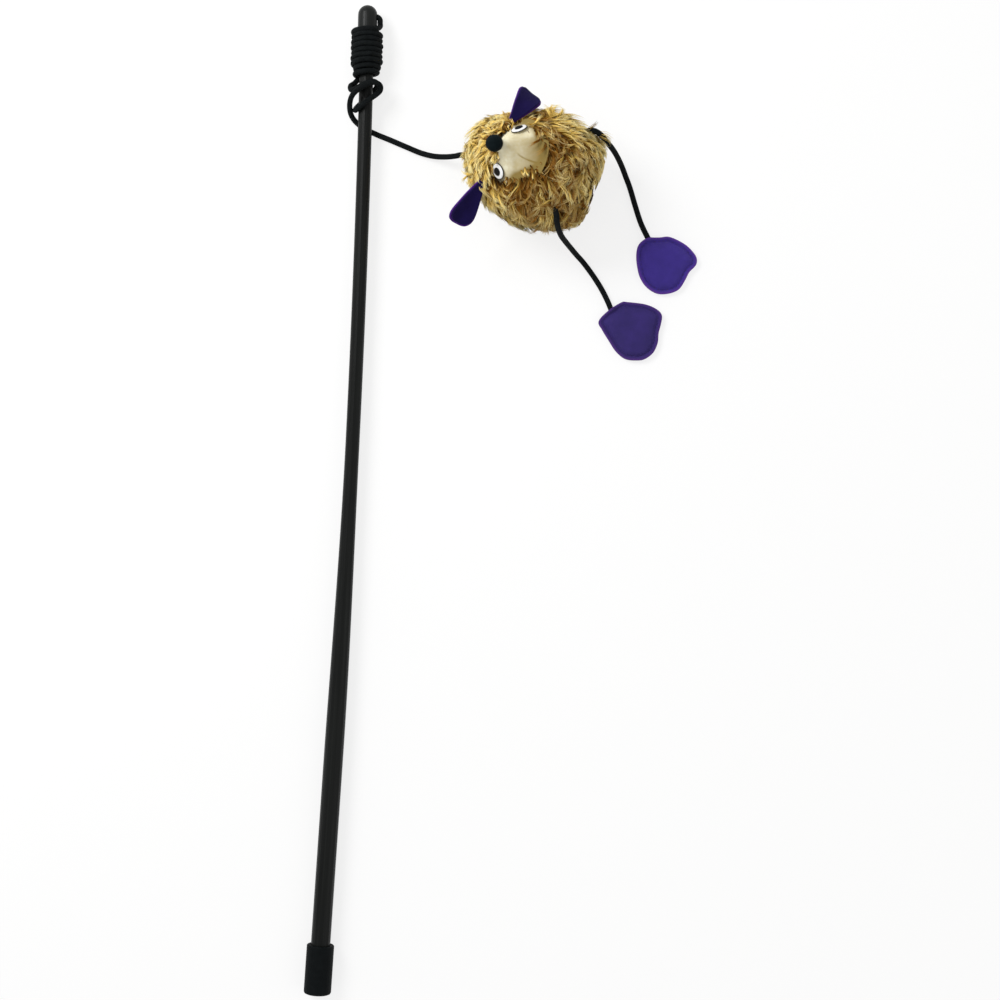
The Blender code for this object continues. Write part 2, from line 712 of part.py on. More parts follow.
def disc(name, radius, thickness, home, finish, parent, matrix):
    """A flat spot of felt with a rounded rim, standing on its local XY plane."""
    rim = 0.25 * thickness
    profile = (
        (0, thickness),
        (radius - 2 * rim, thickness),
        (radius, thickness - rim),
        (radius, 0),
        (0, 0),
    )
    return turned(name, profile, home, finish, parent, matrix, steps=24)


def build_eyes(home, tools, body, pelt, stuffing, snout):
    """A white spot and a pupil on each side of the snout, where the pile is parted."""
    depth = EYE_BEHIND_NOSE - SNOUT_START
    step = 0.05 * MM
    slope = (snout_radius(depth + step) - snout_radius(depth - step)) / (2 * step)
    for side, sign in (("left", 1), ("right", -1)):
        # The snout's local Y points to the crown's side or away from it
        crown = snout.to_3x3().inverted() @ Vector((0, 0, 1))
        up = math.copysign(1, crown.y)
        out = Vector((sign * math.cos(EYE_TURN), up * math.sin(EYE_TURN), 0))
        normal = (out - Vector((0, 0, slope))).normalized()
        seat = out * snout_radius(depth) + Vector((0, 0, EYE_BEHIND_NOSE))
        spot = normal.to_track_quat("Z", "Y").to_matrix().to_4x4()
        spot.translation = seat + normal * EYE_LIFT
        matrix = snout @ spot
        disc(f"eye_white_{side}", EYE_RADIUS, EYE_THICKNESS, home, "eye_white", body, matrix)
        lift = Matrix.Translation((0, 0, EYE_THICKNESS + GAP))
        disc(
            f"pupil_{side}", PUPIL_RADIUS, PUPIL_THICKNESS, home, "eye_black", body, matrix @ lift,
        )
        low = matrix @ Vector((0, 0, -2 * GAP))
        high = matrix @ Vector((0, 0, 3 * PILE))
        radius = EYE_RADIUS + EYE_WELL_CLEARANCE
        well = drill_between(f"eye_well_{side}", low, high, radius, tools, body)
        bool_with(pelt, well)
        bool_with(stuffing, well)


def felt_sheet(name, outline, cup, thickness, lift, home, finish, parent):
    """A cupped leaf of felt along local X, with its faces along local Z."""
    columns = 6
    shape = bmesh.new()
    rows = []
    for distance, half_width in outline:
        row = []
        for index in range(columns + 1):
            across = (2 * index / columns - 1) * half_width
            curl = cup * (across / outline[3][1]) ** 2 * min(1, distance / EAR_LENGTH * 2)
            row.append(shape.verts.new((distance, across, lift + curl)))
        rows.append(row)
    for first, second in zip(rows, rows[1:]):
        for index in range(columns):
            shape.faces.new((first[index], second[index], second[index + 1], first[index + 1]))
    mesh = bpy.data.meshes.new(name)
    shape.to_mesh(mesh)
    shape.free()
    mesh.shade_smooth()
    made = place(name, mesh, home, finish, parent)
    leaf = made.modifiers.new("felt", "SOLIDIFY")
    leaf.thickness = thickness
    leaf.offset = 1
    return made


def build_ears(home, tools, body, pelt):
    """Two felt ears, each a cupped outer and a lining, in slots through the pile."""
    outline = [(share * EAR_LENGTH, half * MM) for share, half in EAR_OUTLINE]
    lean = Matrix.Rotation(HEAD_LEAN, 3, "Y")
    ears = (
        ("left", 1, EAR_LEFT_DIRECTION, EAR_LEFT_TWIST),
        ("right", -1, EAR_RIGHT_DIRECTION, EAR_RIGHT_TWIST),
    )
    for side, sign, direction, twist in ears:
        base = on_egg(lean @ Vector((sign * EAR_BASE_X, EAR_BASE_Y, EAR_BASE_Z)))
        along = (lean @ Vector(direction)).normalized()
        face = (Vector((0, -1, 0)) - along * -along.y).normalized()
        frame = Matrix((along, face.cross(along), face)).transposed().to_4x4()
        frame = Matrix.Translation(base - along * EAR_ROOT) @ frame @ Matrix.Rotation(twist, 4, "X")
        pivot = add_empty(f"ear_{side}_pivot", home, body.matrix_world @ frame, body)
        half = EAR_FELT + GAP / 2
        felt_sheet(
            f"ear_{side}_outer", outline, EAR_CUP, EAR_FELT, -half, home, "ear_felt", pivot,
        )
        lining = [(distance * 0.97, width * 0.9) for distance, width in outline]
        felt_sheet(
            f"ear_{side}_lining", lining, EAR_CUP * 0.81, EAR_FELT, GAP / 2, home, "ear_lining", pivot,
        )
        slot_length = 2 * outline[1][1] + 2 * MM
        shape = bmesh.new()
        size = Matrix.Diagonal((EAR_SLOT_LENGTH, slot_length, EAR_SLOT_WIDTH, 1))
        bmesh.ops.create_cube(shape, size=1, matrix=size)
        mesh = bpy.data.meshes.new(f"ear_{side}_slot")
        shape.to_mesh(mesh)
        shape.free()
        shift = Matrix.Translation((EAR_SLOT_LENGTH / 2 - EAR_SLOT_FLOOR, 0, 0))
        slot = hide_cutter(
            place(f"ear_{side}_slot", mesh, tools, parent=body, matrix=frame @ shift)
        )
        bool_with(pelt, slot)


def foot_points():
    """Return the foot's outline as evenly spaced points on a smooth closed curve."""
    corners = [Vector((along, across, 0)) * MM for along, across in FOOT_OUTLINE]
    return smooth_route(corners, FOOT_FACET, closed=True)


def pillow(name, ring, rim_height, bulge, base, home, finish, parent):
    """A flat-bottomed cushion over a closed outline."""
    middle = sum(ring, Vector()) / len(ring)
    levels = ((1, 0), (1, rim_height), (0.86, rim_height + 0.45 * bulge),
              (0.62, rim_height + 0.82 * bulge), (0.32, rim_height + bulge))
    shape = bmesh.new()
    rows = []
    for share, height in levels:
        rows.append([
            shape.verts.new(middle + (point - middle) * share + Vector((0, 0, base + height)))
            for point in ring
        ])
    for first, second in zip(rows, rows[1:]):
        for index in range(len(ring)):
            after = (index + 1) % len(ring)
            shape.faces.new((first[index], first[after], second[after], second[index]))
    shape.faces.new(rows[0][::-1])
    shape.faces.new(rows[-1])
    bmesh.ops.recalc_face_normals(shape, faces=shape.faces)
    mesh = bpy.data.meshes.new(name)
    shape.to_mesh(mesh)
    shape.free()
    smooth_sides(mesh)
    return place(name, mesh, home, finish, parent)


def build_leg(side, route, heading, home, tools, body):
    """A cord leg and its foot, each on its own turning empty."""
    points = smooth_route(millimetres(route), LINE_SPACING)
    pivot = add_empty(f"leg_{side}_pivot", home, Matrix.Translation(points[0]), body)
    cord_tube(f"leg_cord_{side}", points, home, pivot, round_start=True, round_end=True)
    ankle = Matrix.Translation(points[-1]) @ Matrix.Rotation(heading, 4, "Z")
    foot = add_empty(f"foot_{side}_pivot", home, ankle, pivot)
    sole = -BUTT_CAP_RADIUS - points[-1].z
    ring = foot_points()
    bottom = flat_felt(f"foot_{side}_bottom", ring, FOOT_FELT, sole, home, foot)
    top = pillow(
        f"foot_{side}_top", ring, FOOT_FELT, FOOT_PAD, sole + FOOT_FELT + GAP, home, "foot_felt", foot,
    )
    reach = CORD_RADIUS + FOOT_NOTCH_CLEARANCE
    low = Vector((0, 0, -FOOT_NOTCH_REACH))
    notch = drill_between(f"foot_{side}_notch", low, -low, reach, tools, foot)
    bool_with(bottom, notch)
    bool_with(top, notch)


def flat_felt(name, ring, thickness, base, home, parent):
    """A flat sheet of felt over a closed outline."""
    shape = bmesh.new()
    rows = []
    for height in (base, base + thickness):
        rows.append([shape.verts.new(point + Vector((0, 0, height))) for point in ring])
    for index in range(len(ring)):
        after = (index + 1) % len(ring)
        shape.faces.new((rows[0][index], rows[0][after], rows[1][after], rows[1][index]))
    shape.faces.new(rows[0][::-1])
    shape.faces.new(rows[1])
    bmesh.ops.recalc_face_normals(shape, faces=shape.faces)
    mesh = bpy.data.meshes.new(name)
    shape.to_mesh(mesh)
    shape.free()
    return place(name, mesh, home, "foot_felt", parent)


def main():
    """Build the wand, from the butt to the plush's feet."""
    clear_scene()
    home = new_collection("cat_fishing_rod_toy")
    tools = new_collection("cutters")
    build_rod_tube(home)
    build_butt_cap(home)
    build_tip_cap(home, tools)
    build_tail(home)
    build_tip_winding(home)
    build_hitch_cord(home)
    toy = build_line(home)
    body, pelt, stuffing, snout = build_plush(home, tools, toy)
    build_nose(home, body, snout)
    build_eyes(home, tools, body, pelt, stuffing, snout)
    build_ears(home, tools, body, pelt)
    build_leg("left", LEG_LEFT_ROUTE, FOOT_LEFT_HEADING, home, tools, body)
    build_leg("right", LEG_RIGHT_ROUTE, FOOT_RIGHT_HEADING, home, tools, body)


main()
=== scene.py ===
"""Cat teaser wand: a slim rod with a wound elastic cord and a small plush animal.

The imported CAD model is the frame. This file adds what the hand sees and feels: the
braided cord in one run from the tip cap through its turns and hitches, the long pile
in locks, the velour face, and the felt ears and feet with their stitching. Lengths are
in metres, +Z is up, and every place is in the CAD model's own frame.
"""

import json
import logging
import math
from dataclasses import dataclass, field
from enum import Enum
from functools import cache
from typing import Sequence

import bpy
import numpy as np
from mathutils import Matrix, Vector
from mathutils.bvhtree import BVHTree

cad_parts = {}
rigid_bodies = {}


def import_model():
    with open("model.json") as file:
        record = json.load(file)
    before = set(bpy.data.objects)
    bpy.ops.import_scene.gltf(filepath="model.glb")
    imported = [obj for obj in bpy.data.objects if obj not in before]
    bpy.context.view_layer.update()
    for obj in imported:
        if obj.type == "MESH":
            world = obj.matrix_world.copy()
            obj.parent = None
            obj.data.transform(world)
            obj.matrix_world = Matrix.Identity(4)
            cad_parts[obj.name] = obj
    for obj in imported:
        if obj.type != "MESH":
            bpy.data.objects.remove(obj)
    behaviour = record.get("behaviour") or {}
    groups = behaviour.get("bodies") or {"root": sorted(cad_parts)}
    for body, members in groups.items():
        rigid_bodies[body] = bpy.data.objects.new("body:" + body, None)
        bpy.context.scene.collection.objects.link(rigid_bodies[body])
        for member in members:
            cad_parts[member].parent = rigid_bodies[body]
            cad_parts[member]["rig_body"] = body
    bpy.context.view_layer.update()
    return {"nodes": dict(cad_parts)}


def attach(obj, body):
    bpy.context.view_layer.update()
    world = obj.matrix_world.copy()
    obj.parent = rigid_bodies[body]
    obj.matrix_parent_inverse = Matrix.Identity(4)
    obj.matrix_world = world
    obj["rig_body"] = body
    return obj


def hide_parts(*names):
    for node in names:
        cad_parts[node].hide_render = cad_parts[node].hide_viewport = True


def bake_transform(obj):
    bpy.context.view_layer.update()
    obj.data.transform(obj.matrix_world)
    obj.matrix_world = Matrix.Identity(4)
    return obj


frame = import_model()

LOG = logging.getLogger("teaser_wand")
MM = 0.001
FLOOR_Z = -6.85 * MM
UP = Vector((0, 0, 1))

Colour = tuple[float, float, float]
Point = tuple[float, float, float]
Spot = tuple[float, float]
Piece = bpy.types.Object
Node = bpy.types.Node
Socket = bpy.types.NodeSocket


class Side(Enum):
    """The plush's own left and right, with the sign of its local X."""

    LEFT = 1
    RIGHT = -1

    @property
    def word(self) -> str:
        """Return the side's name as the CAD nodes have it."""
        return self.name.lower()


# Shader node trees


class Graph:
    """A node tree with short calls that add and join nodes."""

    def __init__(self, tree: bpy.types.NodeTree) -> None:
        """Take hold of a node tree."""
        self.tree = tree
        self.nodes = tree.nodes

    def feed(self, node: Node, feeds: dict) -> None:
        """Join a node's inputs to sockets, or set them to numbers and colours."""
        for key, value in feeds.items():
            socket = node.inputs[key]
            if isinstance(value, bpy.types.NodeSocket):
                self.tree.links.new(value, socket)
            elif isinstance(value, tuple) and len(value) == 3 and socket.type == "RGBA":
                socket.default_value = (*value, 1.0)
            else:
                socket.default_value = value

    def add(self, kind: str, feeds: dict | None = None, **settings: object) -> Node:
        """Add a node.

        Args:
            kind: The node's type name, without its first word.
            feeds: What its inputs get, by their names or numbers.
            settings: Attributes to set on it.

        Returns:
            The new node.
        """
        node = self.nodes.new(f"ShaderNode{kind}")
        for key, value in settings.items():
            setattr(node, key, value)
        self.feed(node, feeds or {})
        return node

    def place(self) -> Socket:
        """Return the place on the object."""
        return self.add("TexCoord").outputs["Object"]

    def group(self, tree: bpy.types.NodeTree, feeds: dict) -> bpy.types.NodeOutputs:
        """Return the outputs of a node group that is fed with values."""
        return self.add("Group", feeds, node_tree=tree).outputs

    def maths(self, operation: str, *values: object, clamp: bool = False) -> Socket:
        """Return the result of a math node on its values."""
        node = self.add("Math", dict(enumerate(values)), operation=operation, use_clamp=clamp)
        return node.outputs[0]

    def blend(self, share: object, first: object, second: object) -> Socket:
        """Return a mix of two colours."""
        node = self.add("Mix", data_type="RGBA")
        self.feed(node, {0: share, 6: first, 7: second})
        return node.outputs[2]

    def steps(self, value: object, stops: dict[float, Colour]) -> Socket:
        """Return a colour ramp's output for a value."""
        node = self.add("ValToRGB", {0: value})
        ramp = node.color_ramp
        while len(ramp.elements) < len(stops):
            ramp.elements.new(0.5)
        for element, (place, colour) in zip(ramp.elements, stops.items()):
            element.position = place
            element.color = (*colour, 1.0)
        return node.outputs[0]

    def noise(self, vector: object, scale: float, detail: float = 3.0, roughness: float = 0.55) -> Socket:
        """Return a noise texture's value at a vector."""
        feeds = {"Vector": vector, "Scale": scale, "Detail": detail, "Roughness": roughness}
        return self.add("TexNoise", feeds).outputs["Fac"]


def new_group(
    name: str, inputs: dict[str, float | None], outputs: Sequence[str], kind: str = "Float",
) -> tuple[Graph, bpy.types.NodeOutputs, Node]:
    """Make an empty node group.

    Args:
        name: The group's name.
        inputs: The value of each input by itself, or None for a vector.
        outputs: The names of the outputs.
        kind: The outputs' kind of socket.

    Returns:
        The group's graph, the values that it is given and the node that takes its results.
    """
    tree = bpy.data.node_groups.new(name, "ShaderNodeTree")
    for label, value in inputs.items():
        own = "NodeSocketVector" if value is None else "NodeSocketFloat"
        socket = tree.interface.new_socket(name=label, in_out="INPUT", socket_type=own)
        if value is not None:
            socket.default_value = value
    for label in outputs:
        tree.interface.new_socket(name=label, in_out="OUTPUT", socket_type=f"NodeSocket{kind}")
    return Graph(tree), tree.nodes.new("NodeGroupInput").outputs, tree.nodes.new("NodeGroupOutput")


@cache
def fuzz_group() -> bpy.types.NodeTree:
    """Return the group that gives felt and velour their short tangled fibres."""
    graph, given, result = new_group("fibre_fuzz", {"Vector": None, "Fineness": 900.0}, ("Height", "Mottle"))
    where, fineness = given["Vector"], given["Fineness"]
    tangle = graph.add("TexNoise", {"Vector": where, "Scale": fineness, "Detail": 4.0, "Distortion": 1.6})
    ridges = graph.maths("ABSOLUTE", graph.maths("SUBTRACT", tangle.outputs["Fac"], 0.5))
    fibres = graph.maths("SUBTRACT", 1.0, graph.maths("MULTIPLY", ridges, 5.0, clamp=True))
    coarse = graph.add("TexNoise", {"Vector": where, "Scale": graph.maths("MULTIPLY", fineness, 0.22)})
    mottle = coarse.outputs["Fac"]
    graph.feed(result, {"Height": graph.maths("ADD", fibres, mottle), "Mottle": mottle})
    return graph.tree


@cache
def braid_group() -> bpy.types.NodeTree:
    """Return the group that lays crossing threads round a cord, from its UV map."""
    graph, given, result = new_group(
        "braided_threads", {"UV": None, "Threads": 12.0, "Crossings": 1300.0}, ("Height",),
    )
    parts = graph.add("SeparateXYZ", {0: given["UV"]}).outputs
    around = graph.maths("MULTIPLY", parts[0], given["Threads"])
    along = graph.maths("MULTIPLY", parts[1], given["Crossings"])
    lanes = [graph.maths("ADD", around, along), graph.maths("SUBTRACT", around, along)]
    ridges = [
        graph.maths("SINE", graph.maths("MULTIPLY", graph.maths("FRACT", lane), math.pi)) for lane in lanes
    ]
    count = graph.maths("ADD", *(graph.maths("FLOOR", lane) for lane in lanes))
    over = graph.maths("ABSOLUTE", graph.maths("MODULO", count, 2.0))
    under = graph.maths("SUBTRACT", 1.0, over)
    upper, lower = graph.maths("MULTIPLY", ridges[0], over), graph.maths("MULTIPLY", ridges[1], under)
    graph.feed(result, {"Height": graph.maths("ADD", upper, lower)})
    return graph.tree


@cache
def grain_group() -> bpy.types.NodeTree:
    """Return the group that gives hard pieces their drawn streaks and fine scuffs."""
    graph, given, result = new_group(
        "drawn_grain", {"Vector": None, "Across": 900.0, "Along": 14.0}, ("Streaks", "Scuffs"),
    )
    scale = graph.add("CombineXYZ", {0: given["Across"], 1: given["Along"], 2: given["Across"]})
    drawn = graph.add("VectorMath", {0: given["Vector"], 1: scale.outputs[0]}, operation="MULTIPLY")
    graph.feed(result, {
        "Streaks": graph.noise(drawn.outputs[0], 1.0, 5.0, 0.65),
        "Scuffs": graph.noise(given["Vector"], 260.0, 6.0, 0.7),
    })
    return graph.tree


@cache
def pile_group() -> bpy.types.NodeTree:
    """Return the group that colours a hair from its root to its tip."""
    graph, given, result = new_group("pile_colours", {"Tone": 0.5, "Along": 0.5}, ("Colour",), "Color")
    # Both ramps darken to near black at the root: painted shade deep in the pile. Towards the tip they give
    # the hair's own brown and cream.
    brown = graph.steps(given["Along"], {
        0.0: (0.012, 0.004, 0.001), 0.3: (0.040, 0.013, 0.002),
        0.65: (0.15, 0.054, 0.005), 1.0: (0.38, 0.155, 0.012),
    })
    cream = graph.steps(given["Along"], {
        0.0: (0.05, 0.022, 0.004), 0.3: (0.32, 0.17, 0.020),
        0.65: (1.0, 0.70, 0.18), 1.0: (1.0, 0.94, 0.52),
    })
    share = graph.maths("POWER", given["Tone"], 2.2)
    graph.feed(result, {"Colour": graph.blend(share, brown, cream)})
    return graph.tree


# Finishes


@dataclass(frozen=True)
class Finish:
    """A named finish with its plain colour, roughness and fabric sheen."""

    name: str
    colour: Colour
    roughness: float
    sheen: float = 0.0
    sheen_colour: Colour = (1.0, 1.0, 1.0)
    specular: float = 0.5

    @cache
    def material(self) -> bpy.types.Material:
        """Return the finish as a material, made once."""
        made = bpy.data.materials.new(f"look_{self.name}")
        made.use_nodes = True
        made.diffuse_color = (*self.colour, 1.0)
        graph = Graph(made.node_tree)
        shader = graph.nodes["Principled BSDF"]
        graph.feed(shader, {
            "Base Color": self.colour, "Roughness": self.roughness, "Specular IOR Level": self.specular,
        })
        if self.sheen:
            graph.feed(shader, {
                "Sheen Weight": self.sheen, "Sheen Roughness": 0.45, "Sheen Tint": self.sheen_colour,
            })
        self.dress(graph, shader)
        return made

    def dress(self, graph: Graph, shader: Node) -> None:
        """Add the finish's own nodes. The plain finish adds none."""

    def relief(self, graph: Graph, shader: Node, height: Socket, depth: float, share: float) -> None:
        """Feed a height to the shader's normal as a bump."""
        bump = graph.add("Bump", {"Strength": share, "Distance": depth, "Height": height})
        graph.feed(shader, {"Normal": bump.outputs[0]})


@dataclass(frozen=True)
class DrawnPlastic(Finish):
    """Plastic or fibre rod with streaks along it and fine scuffs."""

    streak: Colour = (0.07, 0.065, 0.06)
    across: float = 900.0
    along: float = 14.0
    depth: float = 0.05 * MM
    scuffing: float = 0.22

    def dress(self, graph: Graph, shader: Node) -> None:
        """Add the streaks and scuffs to the colour, the roughness and the relief."""
        grain = graph.group(
            grain_group(), {"Vector": graph.place(), "Across": self.across, "Along": self.along},
        )
        streaks, scuffs = grain["Streaks"], grain["Scuffs"]
        least = self.roughness - self.scuffing / 2
        graph.feed(shader, {
            "Base Color": graph.blend(graph.maths("POWER", streaks, 2.6), self.colour, self.streak),
            "Roughness": graph.maths("MULTIPLY_ADD", scuffs, self.scuffing, least),
        })
        self.relief(graph, shader, graph.maths("ADD", streaks, scuffs), self.depth, 0.5)


@dataclass(frozen=True)
class BraidedElastic(Finish):
    """Cord of crossing threads round an elastic core."""

    # light: the painted highlight on the threads' crowns.
    light: Colour = (0.014, 0.017, 0.018)
    depth: float = 0.16 * MM

    def dress(self, graph: Graph, shader: Node) -> None:
        """Add the threads from the cord's own UV map, with a painted highlight on their crowns that a little
        lint breaks up.
        """
        around = graph.add("UVMap", uv_map="cord").outputs[0]
        height = graph.group(braid_group(), {"UV": around})["Height"]
        lint = graph.maths("MULTIPLY", graph.noise(graph.place(), 420.0, 5.0), 1.2)
        # Painted highlight: the threads' crowns are lighter.
        colour = graph.blend(graph.maths("MULTIPLY", height, lint), self.colour, self.light)
        graph.feed(shader, {"Base Color": colour})
        self.relief(graph, shader, height, self.depth, 0.9)


@dataclass(frozen=True)
class Pile(Finish):
    """Long plush hair, coloured along each hair and from lock to lock."""

    def dress(self, graph: Graph, shader: Node) -> None:
        """Add the colours from the strand map, whose U is the tone and V the way along."""
        parts = graph.add("SeparateXYZ", {0: graph.add("UVMap", uv_map="strand").outputs[0]}).outputs
        pile = graph.group(pile_group(), {"Tone": parts[0], "Along": parts[1]})
        graph.feed(shader, {"Base Color": pile["Colour"]})


@dataclass(frozen=True)
class PeltSkin(Finish):
    """The woven back of the pelt with the roots of the pile on it, coloured dark brown as painted shade deep
    in the pile between the locks.
    """

    light: Colour = (0.16, 0.085, 0.025)
    depth: float = 0.5 * MM

    def dress(self, graph: Graph, shader: Node) -> None:
        """Add short roots in a combed pattern, mottled between two dark browns of painted shade."""
        fuzz = graph.group(fuzz_group(), {"Vector": graph.place(), "Fineness": 500.0})
        graph.feed(shader, {"Base Color": graph.blend(fuzz["Mottle"], self.colour, self.light)})
        self.relief(graph, shader, fuzz["Height"], self.depth, 1.0)


@dataclass(frozen=True)
class Napped(Finish):
    """Felt or velour with short fibres and a mottled shade."""

    shade: Colour = (0.5, 0.5, 0.5)
    fineness: float = 900.0
    depth: float = 0.12 * MM
    cloudy: float = 60.0
    # rim: the felt's own edge colour on the feet; painted shade on the velour face.
    rim: Colour | None = None

    def dress(self, graph: Graph, shader: Node) -> None:
        """Add the fibres, the clouded shade, and the colour of the "rim" attribute where it has one: the
        felt's own edge colour on the feet, painted shade on the velour face.
        """
        where = graph.place()
        fuzz = graph.group(fuzz_group(), {"Vector": where, "Fineness": self.fineness})
        clouds = graph.maths("ADD", graph.noise(where, self.cloudy, 2.0), fuzz["Mottle"])
        share = graph.maths("MULTIPLY_ADD", clouds, 1.2, -0.7, clamp=True)
        colour = graph.blend(share, self.colour, self.shade)
        # The rim colour is the felt's edge colour on the feet and painted shade on the velour face.
        if self.rim:
            edge = graph.add("Attribute", attribute_name="rim").outputs["Fac"]
            colour = graph.blend(edge, colour, self.rim)
        graph.feed(shader, {"Base Color": colour})
        self.relief(graph, shader, fuzz["Height"], self.depth, 0.8)


class Finishes:
    """All finishes of the toy."""

    ROD = DrawnPlastic(
        "rod_plastic", (0.0045, 0.0050, 0.0048), 0.36, streak=(0.022, 0.024, 0.022), specular=0.11,
    )
    RUBBER = DrawnPlastic(
        "cap_rubber", (0.003, 0.0042, 0.0046), 0.62, streak=(0.009, 0.011, 0.012), across=300.0, along=300.0,
        specular=0.06,
    )
    TIP = DrawnPlastic(
        "tip_plastic", (0.009, 0.010, 0.0095), 0.36, streak=(0.026, 0.028, 0.026), across=500.0, along=90.0,
        specular=0.14,
    )
    CORD = BraidedElastic("elastic_cord", (0.0015, 0.0022, 0.0024), 0.75, specular=0.06)
    FUR = Pile("plush_fur", (0.52, 0.34, 0.13), 0.55, specular=0.03)
    # The backing's dark brown is painted shade of the deep pile, seen between the locks.
    SKIN = PeltSkin("pelt_backing", (0.05, 0.024, 0.008), 0.9)
    # The velour's rim colour is its painted shade, mixed in by the face's "rim" attribute.
    VELOUR = Napped(
        "velour", (0.98, 0.94, 0.74), 0.85, sheen=0.06, shade=(0.78, 0.68, 0.40), fineness=2600.0,
        depth=0.05 * MM, cloudy=150.0, rim=(0.27, 0.19, 0.055), specular=0.1,
    )
    NOSE = Napped(
        "nose_felt", (0.0012, 0.0034, 0.0042), 0.7, shade=(0.005, 0.010, 0.012), fineness=1600.0,
        specular=0.06,
    )
    EYE_WHITE = Napped(
        "eye_white", (0.86, 0.86, 0.85), 0.55, shade=(0.80, 0.80, 0.80), fineness=2000.0, depth=0.02 * MM,
    )
    EYE_BLACK = Napped(
        "eye_black", (0.003, 0.003, 0.004), 0.5, specular=0.1, shade=(0.01, 0.01, 0.012), fineness=2000.0,
        depth=0.02 * MM,
    )
    EAR_OUTER = Napped(
        "ear_felt", (0.085, 0.018, 0.24), 0.9, sheen=0.06, shade=(0.05, 0.011, 0.15),
        sheen_colour=(0.7, 0.5, 1.0), specular=0.2,
    )
    EAR_LINING = Napped(
        "ear_lining", (0.010, 0.0055, 0.062), 0.9, sheen=0.03, shade=(0.006, 0.0035, 0.038),
        sheen_colour=(0.5, 0.4, 1.0), specular=0.1,
    )
    FOOT_LEFT = Napped(
        "foot_felt", (0.040, 0.018, 0.26), 0.88, sheen=0.25, shade=(0.026, 0.011, 0.19),
        sheen_colour=(0.6, 0.5, 1.0), rim=(0.085, 0.019, 0.25),
    )
    # Painted shade: the right foot's felt is the left foot's felt made darker, with less sheen.
    FOOT_RIGHT = Napped(
        "foot_felt_shaded", (0.026, 0.011, 0.145), 0.88, sheen=0.14, shade=(0.015, 0.006, 0.098),
        sheen_colour=(0.6, 0.5, 1.0), rim=(0.058, 0.012, 0.16),
    )
    THREAD = Napped("foot_thread", (0.022, 0.006, 0.10), 0.7, shade=(0.05, 0.015, 0.18), fineness=3000.0)


# Modelling by hand


def deselect() -> None:
    """Leave edit mode and deselect everything."""
    if bpy.context.object and bpy.context.object.mode != "OBJECT":
        bpy.ops.object.mode_set(mode="OBJECT")
    bpy.ops.object.select_all(action="DESELECT")


def take(obj: Piece) -> None:
    """Select one object and make it the active one."""
    deselect()
    obj.select_set(True)
    bpy.context.view_layer.objects.active = obj


def enter(obj: Piece) -> None:
    """Open an object in edit mode with all of it selected."""
    take(obj)
    bpy.ops.object.mode_set(mode="EDIT")
    bpy.ops.mesh.select_all(action="SELECT")


def turn_outwards() -> None:
    """Turn the open object's faces outwards and leave edit mode."""
    bpy.ops.mesh.select_all(action="SELECT")
    bpy.ops.mesh.normals_make_consistent(inside=False)
    bpy.ops.object.mode_set(mode="OBJECT")


def settle(obj: Piece, place: Matrix | None = None) -> Piece:
    """Put an object at a place and move that place into its mesh."""
    deselect()
    if place is not None:
        obj.matrix_world = place @ obj.matrix_world
    take(obj)
    bpy.ops.object.transform_apply(location=True, rotation=True, scale=True)
    return obj


def apply_all(obj: Piece) -> None:
    """Apply an object's modifiers in their order."""
    take(obj)
    for step in list(obj.modifiers):
        bpy.ops.object.modifier_apply(modifier=step.name)


def smooth(obj: Piece, angle: float = 50.0) -> None:
    """Shade an object smooth, with creases at its sharp edges."""
    take(obj)
    bpy.ops.object.shade_smooth_by_angle(angle=math.radians(angle))


def finish(obj: Piece, look: Finish, body: str) -> Piece:
    """Give a piece its finish and the body that it rides on."""
    obj.data.materials.clear()
    obj.data.materials.append(look.material())
    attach(obj, body)
    return obj


def dress_node(node: str, look: Finish) -> None:
    """Give a CAD piece its finish."""
    for slot in frame["nodes"][node].material_slots:
        slot.material = look.material()


def add_object(name: str, data: bpy.types.ID) -> Piece:
    """Add an object to the scene."""
    obj = bpy.data.objects.new(name, data)
    bpy.context.scene.collection.objects.link(obj)
    return obj


def add_values(mesh: bpy.types.Mesh, name: str, values: np.ndarray) -> None:
    """Store a value for each of a mesh's points."""
    layer = mesh.attributes.new(name, "FLOAT", "POINT")
    layer.data.foreach_set("value", values.astype(np.float32))
    mesh.update()


def matrix_of(x: Vector, y: Vector, z: Vector) -> Matrix:
    """Return the frame with the given axes, at the origin."""
    return Matrix((x, y, z)).transposed().to_4x4()


def unit(rows: np.ndarray, least: float = 0.0) -> np.ndarray:
    """Return vectors brought to length 1, along the last axis."""
    return rows / (np.linalg.norm(rows, axis=-1)[..., None] + least)


def travelled(rows: np.ndarray) -> np.ndarray:
    """Return the way along a line of points, at each of them."""
    return np.concatenate(([0.0], np.cumsum(np.linalg.norm(np.diff(rows, axis=0), axis=1))))


def read_off(wanted: np.ndarray | float, places: np.ndarray, rows: np.ndarray) -> np.ndarray:
    """Return what rows of numbers say between their places, column by column."""
    return np.stack([np.interp(wanted, places, rows[:, axis]) for axis in range(rows.shape[1])], axis=-1)


